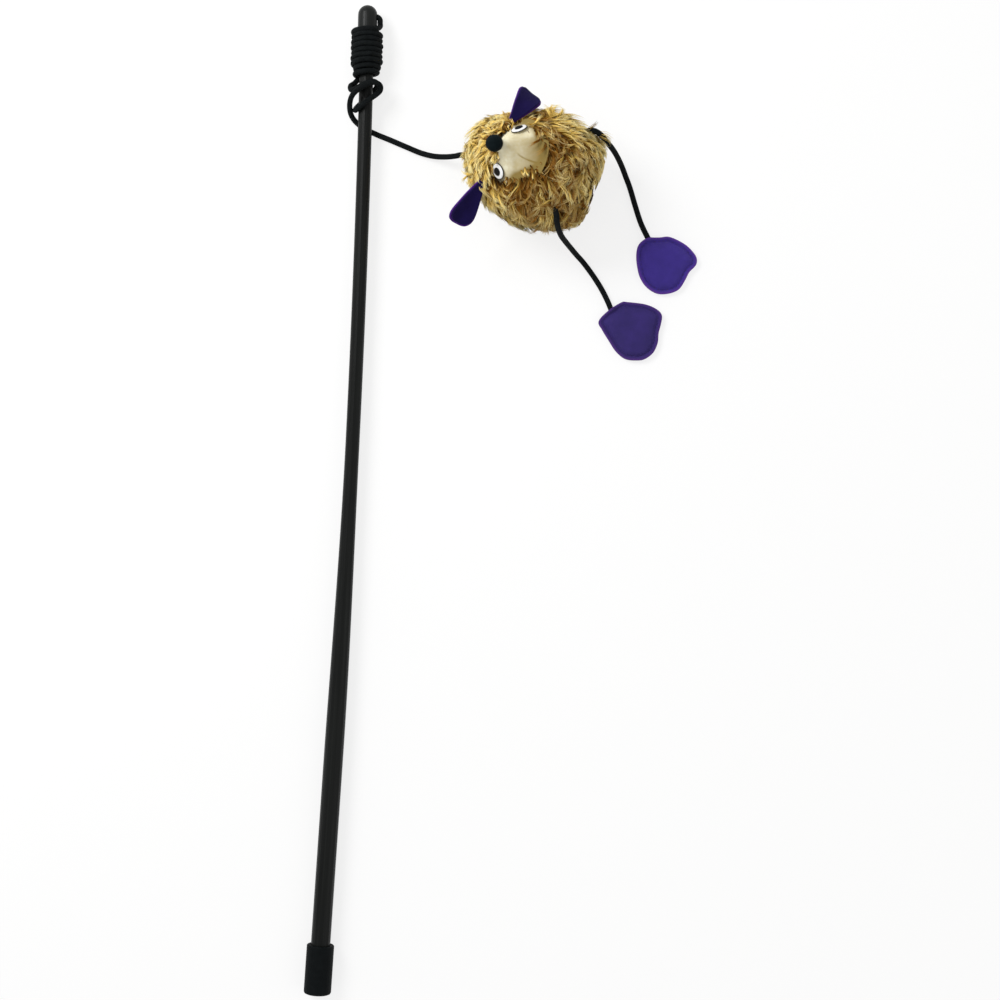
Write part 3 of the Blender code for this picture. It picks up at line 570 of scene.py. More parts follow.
def loft(name: str, rings: Sequence[Spot], place: Matrix, vertices: int = 48) -> Piece:
    """Extrude a circle through rings along its axis.

    Args:
        name: The piece's name.
        rings: Radius and height of each ring. A radius of 0 closes that end.
        place: Where the local frame stands.
        vertices: Points round each ring.

    Returns:
        The lofted piece, its place in its mesh.
    """
    deselect()
    radius, height = rings[0]
    small = 1e-5
    bpy.ops.mesh.primitive_circle_add(
        vertices=vertices, radius=max(radius, small), fill_type="NOTHING", location=(0, 0, height),
    )
    obj = bpy.context.object
    obj.name = name
    settle(obj)
    enter(obj)
    for next_radius, next_height in rings[1:]:
        bpy.ops.mesh.extrude_region_move(TRANSFORM_OT_translate={"value": (0, 0, next_height - height)})
        share = max(next_radius, small) / max(radius, small)
        bpy.ops.transform.resize(value=(share, share, 1), center_override=(0, 0, next_height))
        radius, height = next_radius, next_height
    bpy.ops.mesh.select_all(action="SELECT")
    bpy.ops.mesh.remove_doubles(threshold=3e-5)
    turn_outwards()
    return settle(obj, place)


def smooth_line(points: Sequence[Vector], spacing: float) -> list[Vector]:
    """Return evenly spaced points on a smooth curve through the given ones."""
    guarded = [2 * points[0] - points[1], *points, 2 * points[-1] - points[-2]]
    fine = []
    parts = 12
    for index in range(1, len(guarded) - 2):
        before, here, there, after = guarded[index - 1:index + 3]
        for part in range(parts):
            t = part / parts
            fine.append(0.5 * (
                2 * here
                + (there - before) * t
                + (2 * before - 5 * here + 4 * there - after) * t ** 2
                + (3 * here - before - 3 * there + after) * t ** 3
            ))
    fine.append(points[-1].copy())
    rows = np.array(fine)
    way = travelled(rows)
    count = max(2, round(way[-1] / spacing))
    return [Vector(row) for row in read_off(np.linspace(0, way[-1], count + 1), way, rows)]


def route_length(points: Sequence[Vector]) -> float:
    """Return the length of a route."""
    return sum((second - first).length for first, second in zip(points, points[1:]))


def cord_mesh(name: str, points: Sequence[Vector], radius: float, sides: int = 14) -> Piece:
    """Sweep a round cord with rounded ends along a route, with its own UV map.

    Args:
        name: The cord's name.
        points: The route, in order.
        radius: The cord's radius.
        sides: Facets round it.

    Returns:
        The cord as a mesh, with a UV map named "cord" that is in metres along V.
    """
    rows = np.array(points)
    tangents = unit(np.gradient(rows, axis=0))
    side = unit(np.cross(tangents[0], (0.3, 0.2, 0.9)))
    rings = []
    way = 0.0
    for index, (centre, along) in enumerate(zip(rows, tangents)):
        side = unit(side - along * side.dot(along))
        way += np.linalg.norm(centre - rows[index - 1]) if index else 0.0
        rings.append((centre, along, side, radius, way))
    slopes = [math.radians(angle) for angle in (20, 42, 62, 80)]
    ends = [(math.sin(slope) * radius, math.cos(slope) * radius) for slope in slopes]
    first, last = rings[0], rings[-1]
    head = [(first[0] - first[1] * r, first[1], first[2], w, -r) for r, w in ends][::-1]
    tail = [(last[0] + last[1] * r, last[1], last[2], w, last[4] + r) for r, w in ends]
    rings = head + rings + tail
    turn = np.linspace(0, 2 * math.pi, sides, endpoint=False)
    dots, faces, uvs = [], [], []
    for centre, along, across, width, _ in rings:
        up = np.cross(along, across)
        dots += [tuple(centre + width * (math.cos(a) * across + math.sin(a) * up)) for a in turn]
    for row in range(len(rings) - 1):
        low, high = row * sides, (row + 1) * sides
        v0, v1 = rings[row][4], rings[row + 1][4]
        for step in range(sides):
            after = (step + 1) % sides
            faces.append((low + step, low + after, high + after, high + step))
            u0, u1 = step / sides, (step + 1) / sides
            uvs += [(u0, v0), (u1, v0), (u1, v1), (u0, v1)]
    top = (len(rings) - 1) * sides
    faces += [tuple(range(sides))[::-1], tuple(range(top, top + sides))]
    uvs += [(0.5, rings[0][4])] * sides + [(0.5, rings[-1][4])] * sides
    mesh = bpy.data.meshes.new(name)
    mesh.from_pydata(dots, [], faces)
    layer = mesh.uv_layers.new(name="cord")
    layer.data.foreach_set("uv", np.array(uvs, np.float32).ravel())
    mesh.shade_smooth()
    return add_object(name, mesh)


def inside(spots: np.ndarray, outline: Sequence[Spot]) -> np.ndarray:
    """Return which flat points lie inside a closed outline."""
    corners = np.array(outline)
    after = np.roll(corners, -1, axis=0)
    x, y = spots[..., 0, None], spots[..., 1, None]
    crosses = (corners[:, 1] > y) != (after[:, 1] > y)
    rise = np.where(after[:, 1] == corners[:, 1], 1e-9, after[:, 1] - corners[:, 1])
    reach = corners[:, 0] + (y - corners[:, 1]) * (after[:, 0] - corners[:, 0]) / rise
    return (crosses & (x < reach)).sum(axis=-1) % 2 == 1


def edge_distance(spots: np.ndarray, outline: Sequence[Spot]) -> np.ndarray:
    """Return the distances of flat points to a closed outline."""
    corners = np.array(outline)
    step = np.roll(corners, -1, axis=0) - corners
    away = spots[..., None, :] - corners
    share = np.clip((away * step).sum(axis=-1) / (step ** 2).sum(axis=-1), 0, 1)
    return np.linalg.norm(away - share[..., None] * step, axis=-1).min(axis=-1)


def ramp(values: np.ndarray, start: float, width: float) -> np.ndarray:
    """Return a slope from 0 before its start to 1 past its width."""
    return np.clip((values - start) / width, 0, 1)


def bell(values: np.ndarray, middle: float, width: float) -> np.ndarray:
    """Return a soft bump's height, 1 at its middle."""
    return np.exp(-((values - middle) / width) ** 2)


# The studio


@dataclass
class Studio:
    """The camera above the toy, the pale floor and the soft lights.

    Pixels are those of a picture of 1000 by 1000.
    """

    eye: Point = (0.07427, 0.25243, 1.0)
    upwards: Point = (-0.0685, 0.9976, 0.0)
    lens: float = 72.0
    sensor: float = 36.0
    middle: float = 500.0
    floor_size: float = 6.0
    floor_middle: Spot = (0.05, 0.25)
    floor_share: float = 0.76
    sky: float = 0.60
    lamps: tuple[tuple[str, Point, Point, float, float], ...] = (
        ("key_lamp", (-0.55, 0.75, 0.75), (0.06, 0.4, 0.0), 0.45, 7.5),
        ("fill_lamp", (0.9, 0.0, 0.9), (0.05, 0.35, 0.0), 0.8, 1.2),
    )

    def axes(self) -> tuple[Vector, Vector]:
        """Return the ways to the right and upwards in the picture."""
        up = Vector(self.upwards).normalized()
        return up.cross(UP).normalized(), up

    def pixel_ray(self, px: float, py: float) -> tuple[Vector, Vector]:
        """Return the camera's place and its direction through a pixel."""
        right, up = self.axes()
        reach = self.sensor / 2 / self.lens / self.middle
        way = right * (px - self.middle) * reach + up * (self.middle - py) * reach - UP
        return Vector(self.eye), way.normalized()

    def pixels(self, points: np.ndarray) -> np.ndarray:
        """Return where the camera sees points, in pixels."""
        up = np.array(Vector(self.upwards).normalized())
        right = np.array((up[1], -up[0], 0.0))
        away = points - np.array(self.eye)
        scale = -away[..., 2] * (self.sensor / 2) / self.lens / self.middle
        return np.stack((self.middle + away @ right / scale, self.middle - away @ up / scale), axis=-1)

    def build_camera(self) -> None:
        """Add the camera at the photograph's viewing angle."""
        right, up = self.axes()
        data = bpy.data.cameras.new("camera")
        data.lens = self.lens
        data.sensor_width = self.sensor
        camera = add_object("camera", data)
        camera.matrix_world = Matrix.Translation(self.eye) @ matrix_of(right, up, UP)
        bpy.context.scene.camera = camera

    def floor_material(self) -> bpy.types.Material:
        """Return the pale floor, which the camera sees mostly as light of its own."""
        made = bpy.data.materials.new("floor_paper")
        made.use_nodes = True
        graph = Graph(made.node_tree)
        shader = graph.nodes["Principled BSDF"]
        tone = graph.noise(graph.place(), 40.0, 4.0)
        paper = graph.blend(tone, (0.955, 0.955, 0.95), (0.97, 0.97, 0.965))
        graph.feed(shader, {"Roughness": 0.9, "Base Color": paper})
        glow = graph.add("Emission", {"Color": (1.0, 1.0, 1.0)})
        rays = graph.add("LightPath").outputs
        seen = graph.maths("MAXIMUM", rays["Is Camera Ray"], rays["Is Glossy Ray"])
        seen = graph.maths("MAXIMUM", seen, rays["Is Transmission Ray"])
        share = graph.maths("MULTIPLY", seen, self.floor_share)
        mix = graph.add("MixShader", {0: share, 1: shader.outputs[0], 2: glow.outputs[0]})
        graph.feed(graph.nodes["Material Output"], {0: mix.outputs[0]})
        return made

    def build_floor(self) -> None:
        """Add the floor that the toy lies on."""
        deselect()
        bpy.ops.mesh.primitive_plane_add(size=self.floor_size, location=(*self.floor_middle, FLOOR_Z))
        floor = bpy.context.object
        floor.name = "floor"
        floor.data.materials.append(self.floor_material())

    def build_sky(self) -> None:
        """Add the world, which the camera sees as plain white."""
        world = bpy.data.worlds.new("studio")
        bpy.context.scene.world = world
        world.use_nodes = True
        graph = Graph(world.node_tree)
        sky = graph.nodes["Background"]
        graph.feed(sky, {"Color": (1.0, 1.0, 1.0), "Strength": self.sky})
        bright = graph.add("Background", {"Color": (1.0, 1.0, 1.0), "Strength": 1.0})
        rays = graph.add("LightPath").outputs
        seen = graph.maths("MAXIMUM", rays["Is Camera Ray"], rays["Is Transmission Ray"])
        mix = graph.add("MixShader", {0: seen, 1: sky.outputs[0], 2: bright.outputs[0]})
        graph.feed(graph.nodes["World Output"], {0: mix.outputs[0]})

    def build_lights(self) -> None:
        """Add the square soft lamps: a key from the upper left and a weak fill."""
        for name, place, target, size, power in self.lamps:
            data = bpy.data.lights.new(name, "AREA")
            data.shape = "SQUARE"
            data.size = size
            data.energy = power
            lamp = add_object(name, data)
            lamp.location = place
            lamp.rotation_euler = (Vector(target) - Vector(place)).to_track_quat("-Z", "Y").to_euler()

    def build(self) -> None:
        """Build the whole studio."""
        self.build_camera()
        self.build_floor()
        self.build_sky()
        self.build_lights()
        bpy.context.scene.view_settings.view_transform = "Standard"


# The rod


@dataclass
class Wand:
    """The rod with its two caps, and the frame that runs along it."""

    reach: float = 494.4 * MM
    bend_start: float = 140 * MM
    tip_sweep: float = 8.5 * MM
    rod_radius: float = 3.5 * MM
    butt_cap_radius: float = 6.85 * MM
    tip_cap_radius: float = 4.8 * MM
    tip_cap_length: float = 30.8 * MM
    hole_depth: float = 5.8 * MM
    cord_radius: float = 1.4 * MM
    gap: float = 0.3 * MM
    turns_on_cap: int = 7
    turns_on_rod: int = 2

    @property
    def cap_mouth(self) -> float:
        """Return the Y where the tip cap begins."""
        return self.reach - self.tip_cap_length

    def share(self, y: float) -> float:
        """Return how far along its bend the rod is at y."""
        return max(0.0, y - self.bend_start) / (self.reach - self.bend_start)

    def middle(self, y: float) -> Vector:
        """Return the middle of the rod at y."""
        winding = self.cap_mouth + (self.turns_on_cap - self.turns_on_rod) * self.cord_radius
        outer = self.tip_cap_radius + self.gap + 2 * self.cord_radius
        rise = (outer - self.butt_cap_radius) / self.share(winding) ** 2
        bend = self.share(y) ** 2
        return Vector((-self.tip_sweep * bend, y, rise * bend))

    def axes(self, y: float) -> tuple[Vector, Vector, Vector]:
        """Return the ways to the right, tipwards and to the front of the rod at y."""
        along = (self.middle(y + MM) - self.middle(y - MM)).normalized()
        right = along.cross(UP).normalized()
        return right, along, right.cross(along)

    def ring_point(self, y: float, radius: float, angle: float) -> Vector:
        """Return a point round the rod.

        Args:
            y: Where along the rod.
            radius: Distance from its middle.
            angle: Degrees from the right-hand side, up over the front.

        Returns:
            The point.
        """
        right, _, front = self.axes(y)
        turn = math.radians(angle)
        return self.middle(y) + radius * (math.cos(turn) * right + math.sin(turn) * front)

    def near_point(self, y: float, right_mm: float, tipwards_mm: float, up_mm: float) -> Vector:
        """Return a point in the rod's own frame at y, from distances in millimetres."""
        right, along, front = self.axes(y)
        return self.middle(y) + (right * right_mm + along * tipwards_mm + front * up_mm) * MM

    def dress(self) -> None:
        """Give the rod and its caps their finishes."""
        looks = {"rod_tube": Finishes.ROD, "butt_cap": Finishes.RUBBER, "tip_cap": Finishes.TIP}
        for node, look in looks.items():
            dress_node(node, look)
            LOG.info("%s dressed", node)


# The cord


def millimetres(spots: Sequence[Point]) -> list[Vector]:
    """Return points whose numbers are in millimetres."""
    return [Vector(spot) * MM for spot in spots]


@dataclass
class Cords:
    """All cords: the turns and hitches on the rod, the line to the plush and its legs.

    The routes are in millimetres. The hitches' own is in the rod's frame at hitch_y.
    """

    wand: Wand
    hitch_y: float = 447.2 * MM
    wound_radius: float = 1.36 * MM
    turns: float = 8.64
    turn_tilt: float = 0.8 * MM
    wobble: float = 0.06 * MM
    slack: float = 0.16 * MM
    spacing: float = 0.7 * MM
    seed: int = 11
    line_inside_mm: float = 9.0
    leg_inside_mm: float = 4.0
    hitch_route: tuple[Point, ...] = (
        (-5.7, 8.6, -1.4), (-7.6, 6.6, 0.8), (-7.0, 4.2, 3.0),
        (-4.2, 4.8, 5.2), (-0.6, 6.8, 5.7), (3.3, 8.5, 4.6), (5.5, 8.2, 0.8),
        (4.6, 6.2, -3.2), (1.2, 3.2, -5.3), (-2.7, -0.9, -4.9), (-4.95, -4.3, -1.4),
        (-4.5, -5.6, 2.6), (-1.6, -3.6, 5.2), (2.2, -0.6, 5.2), (5.2, 1.9, 3.9),
        (7.4, 4.2, 3.6), (7.2, 6.6, 5.3), (4.2, 7.4, 7.6), (0.2, 5.9, 8.6),
        (-3.8, 3.2, 8.1), (-6.4, 0.6, 6.4), (-7.6, -2.8, 3.4), (-7.4, -6.6, -0.2),
        (-5.7, -9.6, -3.4), (-2.7, -12.1, -5.1), (0.6, -13.9, -5.6),
    )
    line_route: tuple[Point, ...] = (
        (-2.2, 432.1, -5.0), (1.6, 430.8, -5.4), (6.3, 429.3, -5.45), (14.9, 426.3, -5.45),
        (22.8, 423.6, -5.0), (29.4, 422.2, -3.5), (35.6, 421.8, -0.4), (40.4, 421.9, 3.4),
        (44.0, 422.0, 7.2),
    )
    leg_left_route: tuple[Point, ...] = (
        (107.2, 434.9, 26.6), (110.2, 433.8, 26.2), (112.8, 432.1, 23.2), (115.2, 430.6, 18.6),
        (118.0, 428.9, 12.6), (121.0, 426.2, 5.8), (123.8, 422.7, -0.4), (126.2, 418.5, -4.2),
        (128.7, 413.3, -5.45), (131.7, 405.2, -5.45), (134.9, 397.1, -5.45),
        (137.4, 392.3, -5.45), (140.1, 387.8, -5.45),
    )
    leg_right_route: tuple[Point, ...] = (
        (91.9, 390.6, 40.4), (92.2, 388.6, 39.4), (92.8, 386.6, 35.8), (93.9, 384.6, 30.2),
        (95.6, 382.8, 23.2), (97.8, 381.4, 15.8), (100.4, 379.8, 8.2), (103.8, 377.4, 0.8),
        (108.0, 374.0, -4.0), (113.3, 368.0, -5.45), (117.9, 361.7, -5.45),
        (121.4, 355.8, -5.45), (123.6, 351.3, -5.45),
    )

    def winding_route(self) -> list[Vector]:
        """Return the route from the hole in the tip cap through the tight turns."""
        wand = self.wand
        hole = wand.reach - wand.hole_depth
        on_cap = wand.tip_cap_radius + wand.gap + self.wound_radius
        on_rod = wand.rod_radius + wand.gap + self.wound_radius
        top = wand.cap_mouth + wand.turns_on_cap * 2 * wand.cord_radius - self.wound_radius
        bottom = wand.cap_mouth - wand.turns_on_rod * 2 * wand.cord_radius + self.wound_radius
        out_of_hole = ((0.0, 3.6, 0), (0.1, 5.2, 0), (1.3, 6.25, -3), (2.9, 6.3, -6), (4.6, 6.35, -5))
        route = [wand.ring_point(hole - down * MM, out * MM, angle) for down, out, angle in out_of_hole]
        shake = np.random.default_rng(self.seed)
        steps = int(self.turns * 16)
        for step in range(2, steps + 1):
            share = step / steps
            y = top + (bottom - top) * share
            loosened = min(1.0, max(0.0, (wand.cap_mouth - y) / (1.5 * MM) + 0.5))
            radius = on_cap + (on_rod - on_cap) * loosened
            wobble = self.wobble * shake.standard_normal()
            turn = share * self.turns * 360
            slack = self.slack * (1 + math.sin(math.radians(turn * 0.37 + 40)))
            ends = min(1.0, share * self.turns, (1 - share) * self.turns)
            tilt = self.turn_tilt * math.sin(math.radians(turn)) * ends
            route.append(wand.ring_point(y + wobble + tilt, radius + abs(wobble) + slack, turn))
        return route

    def lay_cord(
        self, name: str, route: Sequence[Vector], radius: float, body: str, nodes: Sequence[str],
    ) -> Piece:
        """Build a stretch of cord, log its length and put it on its body.

        Args:
            name: The cord's name.
            route: Points along it.
            radius: Its radius.
            body: The body that it rides on.
            nodes: The CAD nodes that it stands for.

        Returns:
            The finished cord.
        """
        points = smooth_line(route, self.spacing)
        obj = cord_mesh(name, points, radius)
        obj.data.materials.append(Finishes.CORD.material())
        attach(obj, body)
        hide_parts(*nodes)
        LOG.info("%s built, %.0f mm long", name, route_length(points) / MM)
        return obj

    def build(self) -> None:
        """Build every stretch of cord."""
        wand = self.wand
        hitches = [wand.near_point(self.hitch_y, *spot) for spot in self.hitch_route]
        line = millimetres(self.line_route)
        self.lay_cord(
            "wound_cord", [*self.winding_route(), *hitches, line[0]], self.wound_radius, "rod",
            ("cord_tail", "tip_winding", "hitch_cord"),
        )
        heart = PlushShape().middle()
        line_in = line[-1] + (heart - line[-1]).normalized() * self.line_inside_mm * MM
        obj = self.lay_cord(
            "toy_line", [*line, line_in], wand.cord_radius, "line", ("line_cord", "line_knot"),
        )
        self.hinge(obj, "line", "toy", line[-1], line_in)
        for side, spots in ((Side.LEFT, self.leg_left_route), (Side.RIGHT, self.leg_right_route)):
            leg = millimetres(spots)
            inwards = (heart - leg[0]).normalized() + (leg[0] - leg[1]).normalized()
            leg_in = leg[0] + inwards.normalized() * self.leg_inside_mm * MM
            word = side.word
            obj = self.lay_cord(
                f"leg_{word}", [leg_in, *leg], wand.cord_radius, f"leg_{word}",
                (f"leg_cord_{word}", f"leg_knot_{word}"),
            )
            self.hinge(obj, "toy", f"leg_{word}", leg_in, leg[0])
        dress_node("tail_knot", Finishes.RUBBER)

    def hinge(self, obj: Piece, first: str, second: str, start: Vector, end: Vector) -> None:
        """Take a cord off its body, keeping it where it is, and bake its place into its mesh."""
        place = obj.matrix_world.copy()
        obj.parent = None
        obj.matrix_world = place
        if "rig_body" in obj:
            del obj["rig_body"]
        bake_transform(obj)


# The plush


@dataclass
class PlushShape:
    """The plush's egg and the frames of its features, as the CAD model has them."""

    radius: float = 28.5 * MM
    half_length: float = 36 * MM
    base: float = 30.4 * MM
    centre_x: float = 81.2 * MM
    centre_y: float = 415.1 * MM
    heading: float = math.radians(163.9)
    roll: float = math.radians(-10)
    lean: float = math.radians(6.2)
    nose: Point = (2.7 * MM, -32.5 * MM, 22.3 * MM)
    snout_tilt: float = math.radians(49.5)
    snout_start: float = 3.2 * MM
    snout_length: float = 15 * MM
    snout_tip: float = 2.9 * MM
    snout_rim: float = 16.5 * MM
    tip_slope: float = 0.33

    def middle(self) -> Vector:
        """Return the middle of the egg."""
        return Vector((self.centre_x, self.centre_y, FLOOR_Z + self.radius))

    def frame(self) -> Matrix:
        """Return the plush's frame: X to its left, -Y to its front, Z to its crown."""
        crown = Vector((math.cos(self.heading), math.sin(self.heading), 0))
        left = Vector((math.sin(self.heading), -math.cos(self.heading), 0))
        made = matrix_of(left, -UP, crown)
        made.translation = self.middle()
        return made @ Matrix.Rotation(self.roll, 4, "Z")

    def snout_frame(self) -> Matrix:
        """Return the snout's frame in the plush: +Z runs back from the middle of the nose."""
        back = Vector((0, math.sin(self.snout_tilt), -math.cos(self.snout_tilt)))
        side = Vector((1, 0, 0))
        made = matrix_of(side, back.cross(side), back)
        made.translation = self.nose
        return Matrix.Rotation(self.lean, 4, "Y") @ made

    def snout_radius(self, depth: float) -> float:
        """Return the snout's radius at a distance behind its tip."""
        flare = self.snout_rim - self.snout_tip - self.tip_slope * self.snout_length
        return self.snout_tip + self.tip_slope * depth + flare * (depth / self.snout_length) ** 2

    def distance(self, points: np.ndarray, inset: float = 0.0) -> np.ndarray:
        """Return how far points stand from the egg's middle, 1 on its surface."""
        flat = (points[:, 0] ** 2 + points[:, 1] ** 2) / (self.radius - inset) ** 2
        return np.sqrt(flat + points[:, 2] ** 2 / (self.half_length - inset) ** 2)

    def normals(self, points: np.ndarray) -> np.ndarray:
        """Return the egg's outward normals at points."""
        return unit(points / np.array((self.radius ** 2, self.radius ** 2, self.half_length ** 2)))


@dataclass
class Locks:
    """The small locks of the pile: where each is rooted and on what."""

    roots: np.ndarray
    tuft: np.ndarray
    flat: np.ndarray
    upper: np.ndarray
    lifted: np.ndarray
    on_face: np.ndarray
    short: np.ndarray


@dataclass
class FurCoat:
    """The long pile: tufts of small locks rooted on the pelt and combed as the photograph shows.

    A mark is a spot in the picture, how the pile lies there to the right and down, its
    tone and how far it stands. A mark's tone holds the pile's own colour there and painted
    light and shade: lighter on the left and along the top, darker right of and below the face.
    A bare spot is an ellipse in the picture that no hair
    above the given height crosses. Pairs are the least and the most of a random share,
    but for guard_or_under: there they are what guard hair and undercoat have of length,
    height, width and stand on the base.
    """

    shape: PlushShape
    studio: Studio
    root_inset: float = 3.9 * MM
    tuft_gap: float = 3.7 * MM
    locks: int = 13
    tuft_width: float = 2.8 * MM
    hairs: int = 8
    hair_radius: float = 0.14 * MM
    lock_length: float = 10.0 * MM
    lock_height: float = 3.5 * MM
    lock_width: float = 0.48 * MM
    lock_lengths: Spot = (0.7, 1.15)
    lock_heights: Spot = (0.75, 1.2)
    lock_turn: float = math.radians(15)
    lock_curl: float = 0.3
    lock_wave: float = 0.26
    lock_tone: float = 0.3
    hair_lengths: Spot = (0.72, 1.06)
    hair_heights: Spot = (0.85, 1.07)
    hair_curl: float = 0.07
    hair_tone: float = 0.12
    guard_share: float = 0.3
    guard_light: float = 0.45
    guard_flick: float = 1.8 * MM
    guard_or_under: tuple[Spot, ...] = ((1.3, 0.8), (1.3, 0.78), (0.72, 1.1), (2.6, 1.0))
    base_stand: float = 0.9 * MM
    base_stands: Spot = (0.5, 1.0)
    base_short: float = 0.5
    tuft_gather: float = 0.45
    tuft_turn: float = math.radians(17)
    tuft_lift: float = 0.25
    tuft_lifts: Spot = (0.5, 1.6)
    tuft_tone: float = 0.15
    fringe: float = 7.0
    fringe_lengths: Spot = (0.35, 0.6)
    face_length: float = 0.85
    face_height: float = 0.7
    face_margin: float = 0.2 * MM
    face_blend: float = 0.8 * MM
    face_over: float = 0.8 * MM
    face_behind: float = 8 * MM
    face_under: float = 2.6 * MM
    mark_reach: float = 6.0 * MM
    levels: tuple[float, ...] = (0.0, 0.27, 0.52, 0.77, 1.0)
    thickness: tuple[float, ...] = (0.9, 1.0, 1.0, 0.78, 0.0)
    pieces: int = 8
    seed: int = 5
    face_edge: tuple[Spot, ...] = (
        (508, 132), (514, 133.5), (525, 132.5), (529, 128), (537, 132.5), (542.5, 141), (546.5, 152),
        (546.5, 160), (541, 166), (531, 170), (520.5, 174), (509, 179.5), (501, 180.5), (497, 178),
        (496, 167), (494, 157), (497, 150), (500, 143), (498, 137),
    )
    bare_spots: tuple[tuple[float, float, float, float, float], ...] = (
        (519.3, 130.6, 8.2, 4.3, 0.0), (500.0, 170.8, 6.4, 8.8, 0.0), (494.2, 143.5, 8.8, 8.3, 49.5 * MM),
        (529.0, 100.0, 13.5, 12.0, 0.0),
    )
    marks: tuple[tuple[float, float, float, float, float, float], ...] = (
        (480, 128, -0.75, 0.55, 1.0, 1.15), (470, 150, -1.0, 0.25, 1.0, 0.55),
        (470, 170, -0.85, 0.5, 1.0, 0.95), (488, 133, -0.7, 0.6, 0.75, 0.9),
        (485, 160, -0.6, 0.7, 0.75, 0.7), (500, 118, -0.8, -0.45, 0.8, 0.5),
        (520, 118, -0.3, -0.9, 0.55, 0.5), (532, 122, 0.65, 0.6, 0.3, 0.8), (545, 128, 0.6, 0.8, 0.15, 0.9),
        (556, 117, 0.2, -1.0, 0.75, 1.1), (568, 122, 0.7, -0.4, 0.85, 0.6), (574, 127, 0.8, -0.2, 1.0, 0.7),
        (580, 126, 0.9, 0.1, 0.9, 1.6), (597, 136, 0.7, 0.6, 0.9, 0.8), (602, 150, 0.25, 1.0, 0.95, 0.6),
        (600, 175, -0.1, 1.0, 0.5, 0.5), (578, 150, -0.35, 0.95, 0.2, 1.0), (552, 138, 0.35, 0.6, 0.0, 0.8),
        (556, 150, 0.1, 1.0, 0.1, 0.9), (564, 168, -0.3, 0.95, 0.03, 1.0), (585, 185, -0.35, 0.95, 0.1, 0.8),
        (543, 183, 0.1, 1.0, 0.1, 1.0), (520, 185, 0.2, 1.0, 0.05, 0.9), (497, 186, -0.1, 1.0, 0.35, 0.9),
        (500, 205, 0.35, 0.95, 0.22, 0.8), (525, 203, 0.1, 1.0, 0.0, 0.9), (555, 203, -0.1, 1.0, 0.15, 1.15),
        (573, 192, -0.2, 1.0, 0.0, 0.8), (545, 220, -0.1, 1.0, 0.5, 0.5), (515, 214, -0.3, 1.0, 0.45, 0.7),
        (575, 215, 0.3, 0.9, 0.12, 0.8), (592, 200, 0.2, 0.9, 0.1, 0.6), (550, 160, 0.3, 0.95, 0.35, 0.8),
    )

    def comb_field(self) -> tuple[np.ndarray, np.ndarray]:
        """Return the marks' places and ways in the plush's own frame."""
        home = self.shape.frame().inverted()
        right, up = self.studio.axes()
        places, ways = [], []
        for px, py, sideways, down, _, _ in self.marks:
            eye, look = self.studio.pixel_ray(px, py)
            start, way = home @ eye, (home.to_3x3() @ look).normalized()
            best = min(
                (start + way * (0.9 + step * 0.0005) for step in range(300)),
                key=lambda spot: abs(self.shape.distance(np.array([spot]))[0] - 1.0),
            )
            places.append(best)
            ways.append((home.to_3x3() @ (right * sideways - up * down)).normalized())
        return np.array(places), np.array(ways)

    def tuft_roots(self) -> np.ndarray:
        """Return evenly spread roots on the pelt, over its flat base too."""
        shape = self.shape
        inner = np.array((shape.radius - self.root_inset,) * 2 + (shape.half_length - self.root_inset,))
        count = int(4 * math.pi * (inner[0] * inner[1] * inner[2]) ** (2 / 3) / self.tuft_gap ** 2)
        index = np.arange(count) + 0.5
        height = 1 - 2 * index / count
        turn = math.pi * (1 + math.sqrt(5)) * index
        level = np.sqrt(1 - height ** 2)
        spots = np.stack((level * np.cos(turn), level * np.sin(turn), height), axis=1) * inner
        floor = -(shape.base - 3.2 * MM)
        low = spots[:, 2] < floor
        spots[low] *= (floor / spots[low, 2])[:, None]
        return spots

    def world(self, points: np.ndarray) -> np.ndarray:
        """Return points of the plush's frame in the CAD model's frame."""
        place = np.array(self.shape.frame())
        return points @ place[:3, :3].T + place[:3, 3]

    def face_lift(self, roots: np.ndarray) -> tuple[np.ndarray, np.ndarray]:
        """Return how roots behind the velour are brought out to it, and their distance from its axis."""
        shape = self.shape
        snout = np.array(shape.snout_frame().inverted())
        seen = roots @ snout[:3, :3].T + snout[:3, 3]
        depths = np.linspace(0, shape.snout_length, 60)
        radii = np.array([shape.snout_radius(depth) for depth in depths])
        across = np.hypot(seen[:, 0], seen[:, 1])
        surface = shape.snout_start + np.interp(across, radii, depths)
        share = np.clip((shape.snout_rim + self.face_margin - across) / self.face_blend, 0, 1)
        share[seen[:, 2] < surface] = 0
        share[seen[:, 2] > shape.snout_start + shape.snout_length + self.face_behind] = 0
        lift = (surface + self.face_over - seen[:, 2]) * share
        return lift[:, None] * snout[2, :3][None], across * (share > 0.3)

    def strand_pattern(self) -> tuple[np.ndarray, np.ndarray]:
        """Model one hair as a slim three-sided spike with cuts across it.

        Returns:
            The spike's points and its triangles.
        """
        deselect()
        bpy.ops.mesh.primitive_cone_add(vertices=3, radius1=1, radius2=0, depth=1, location=(0, 0, 0.5))
        obj = bpy.context.object
        settle(obj)
        for cut in self.levels[1:-1]:
            enter(obj)
            bpy.ops.mesh.bisect(plane_co=(0, 0, cut), plane_no=(0, 0, 1))
            bpy.ops.object.mode_set(mode="OBJECT")
        data = obj.data
        data.calc_loop_triangles()
        dots = np.array([vertex.co for vertex in data.vertices])
        faces = np.array([triangle.vertices for triangle in data.loop_triangles])
        bpy.data.objects.remove(obj, do_unlink=True)
        bpy.data.meshes.remove(data)
        return dots, faces

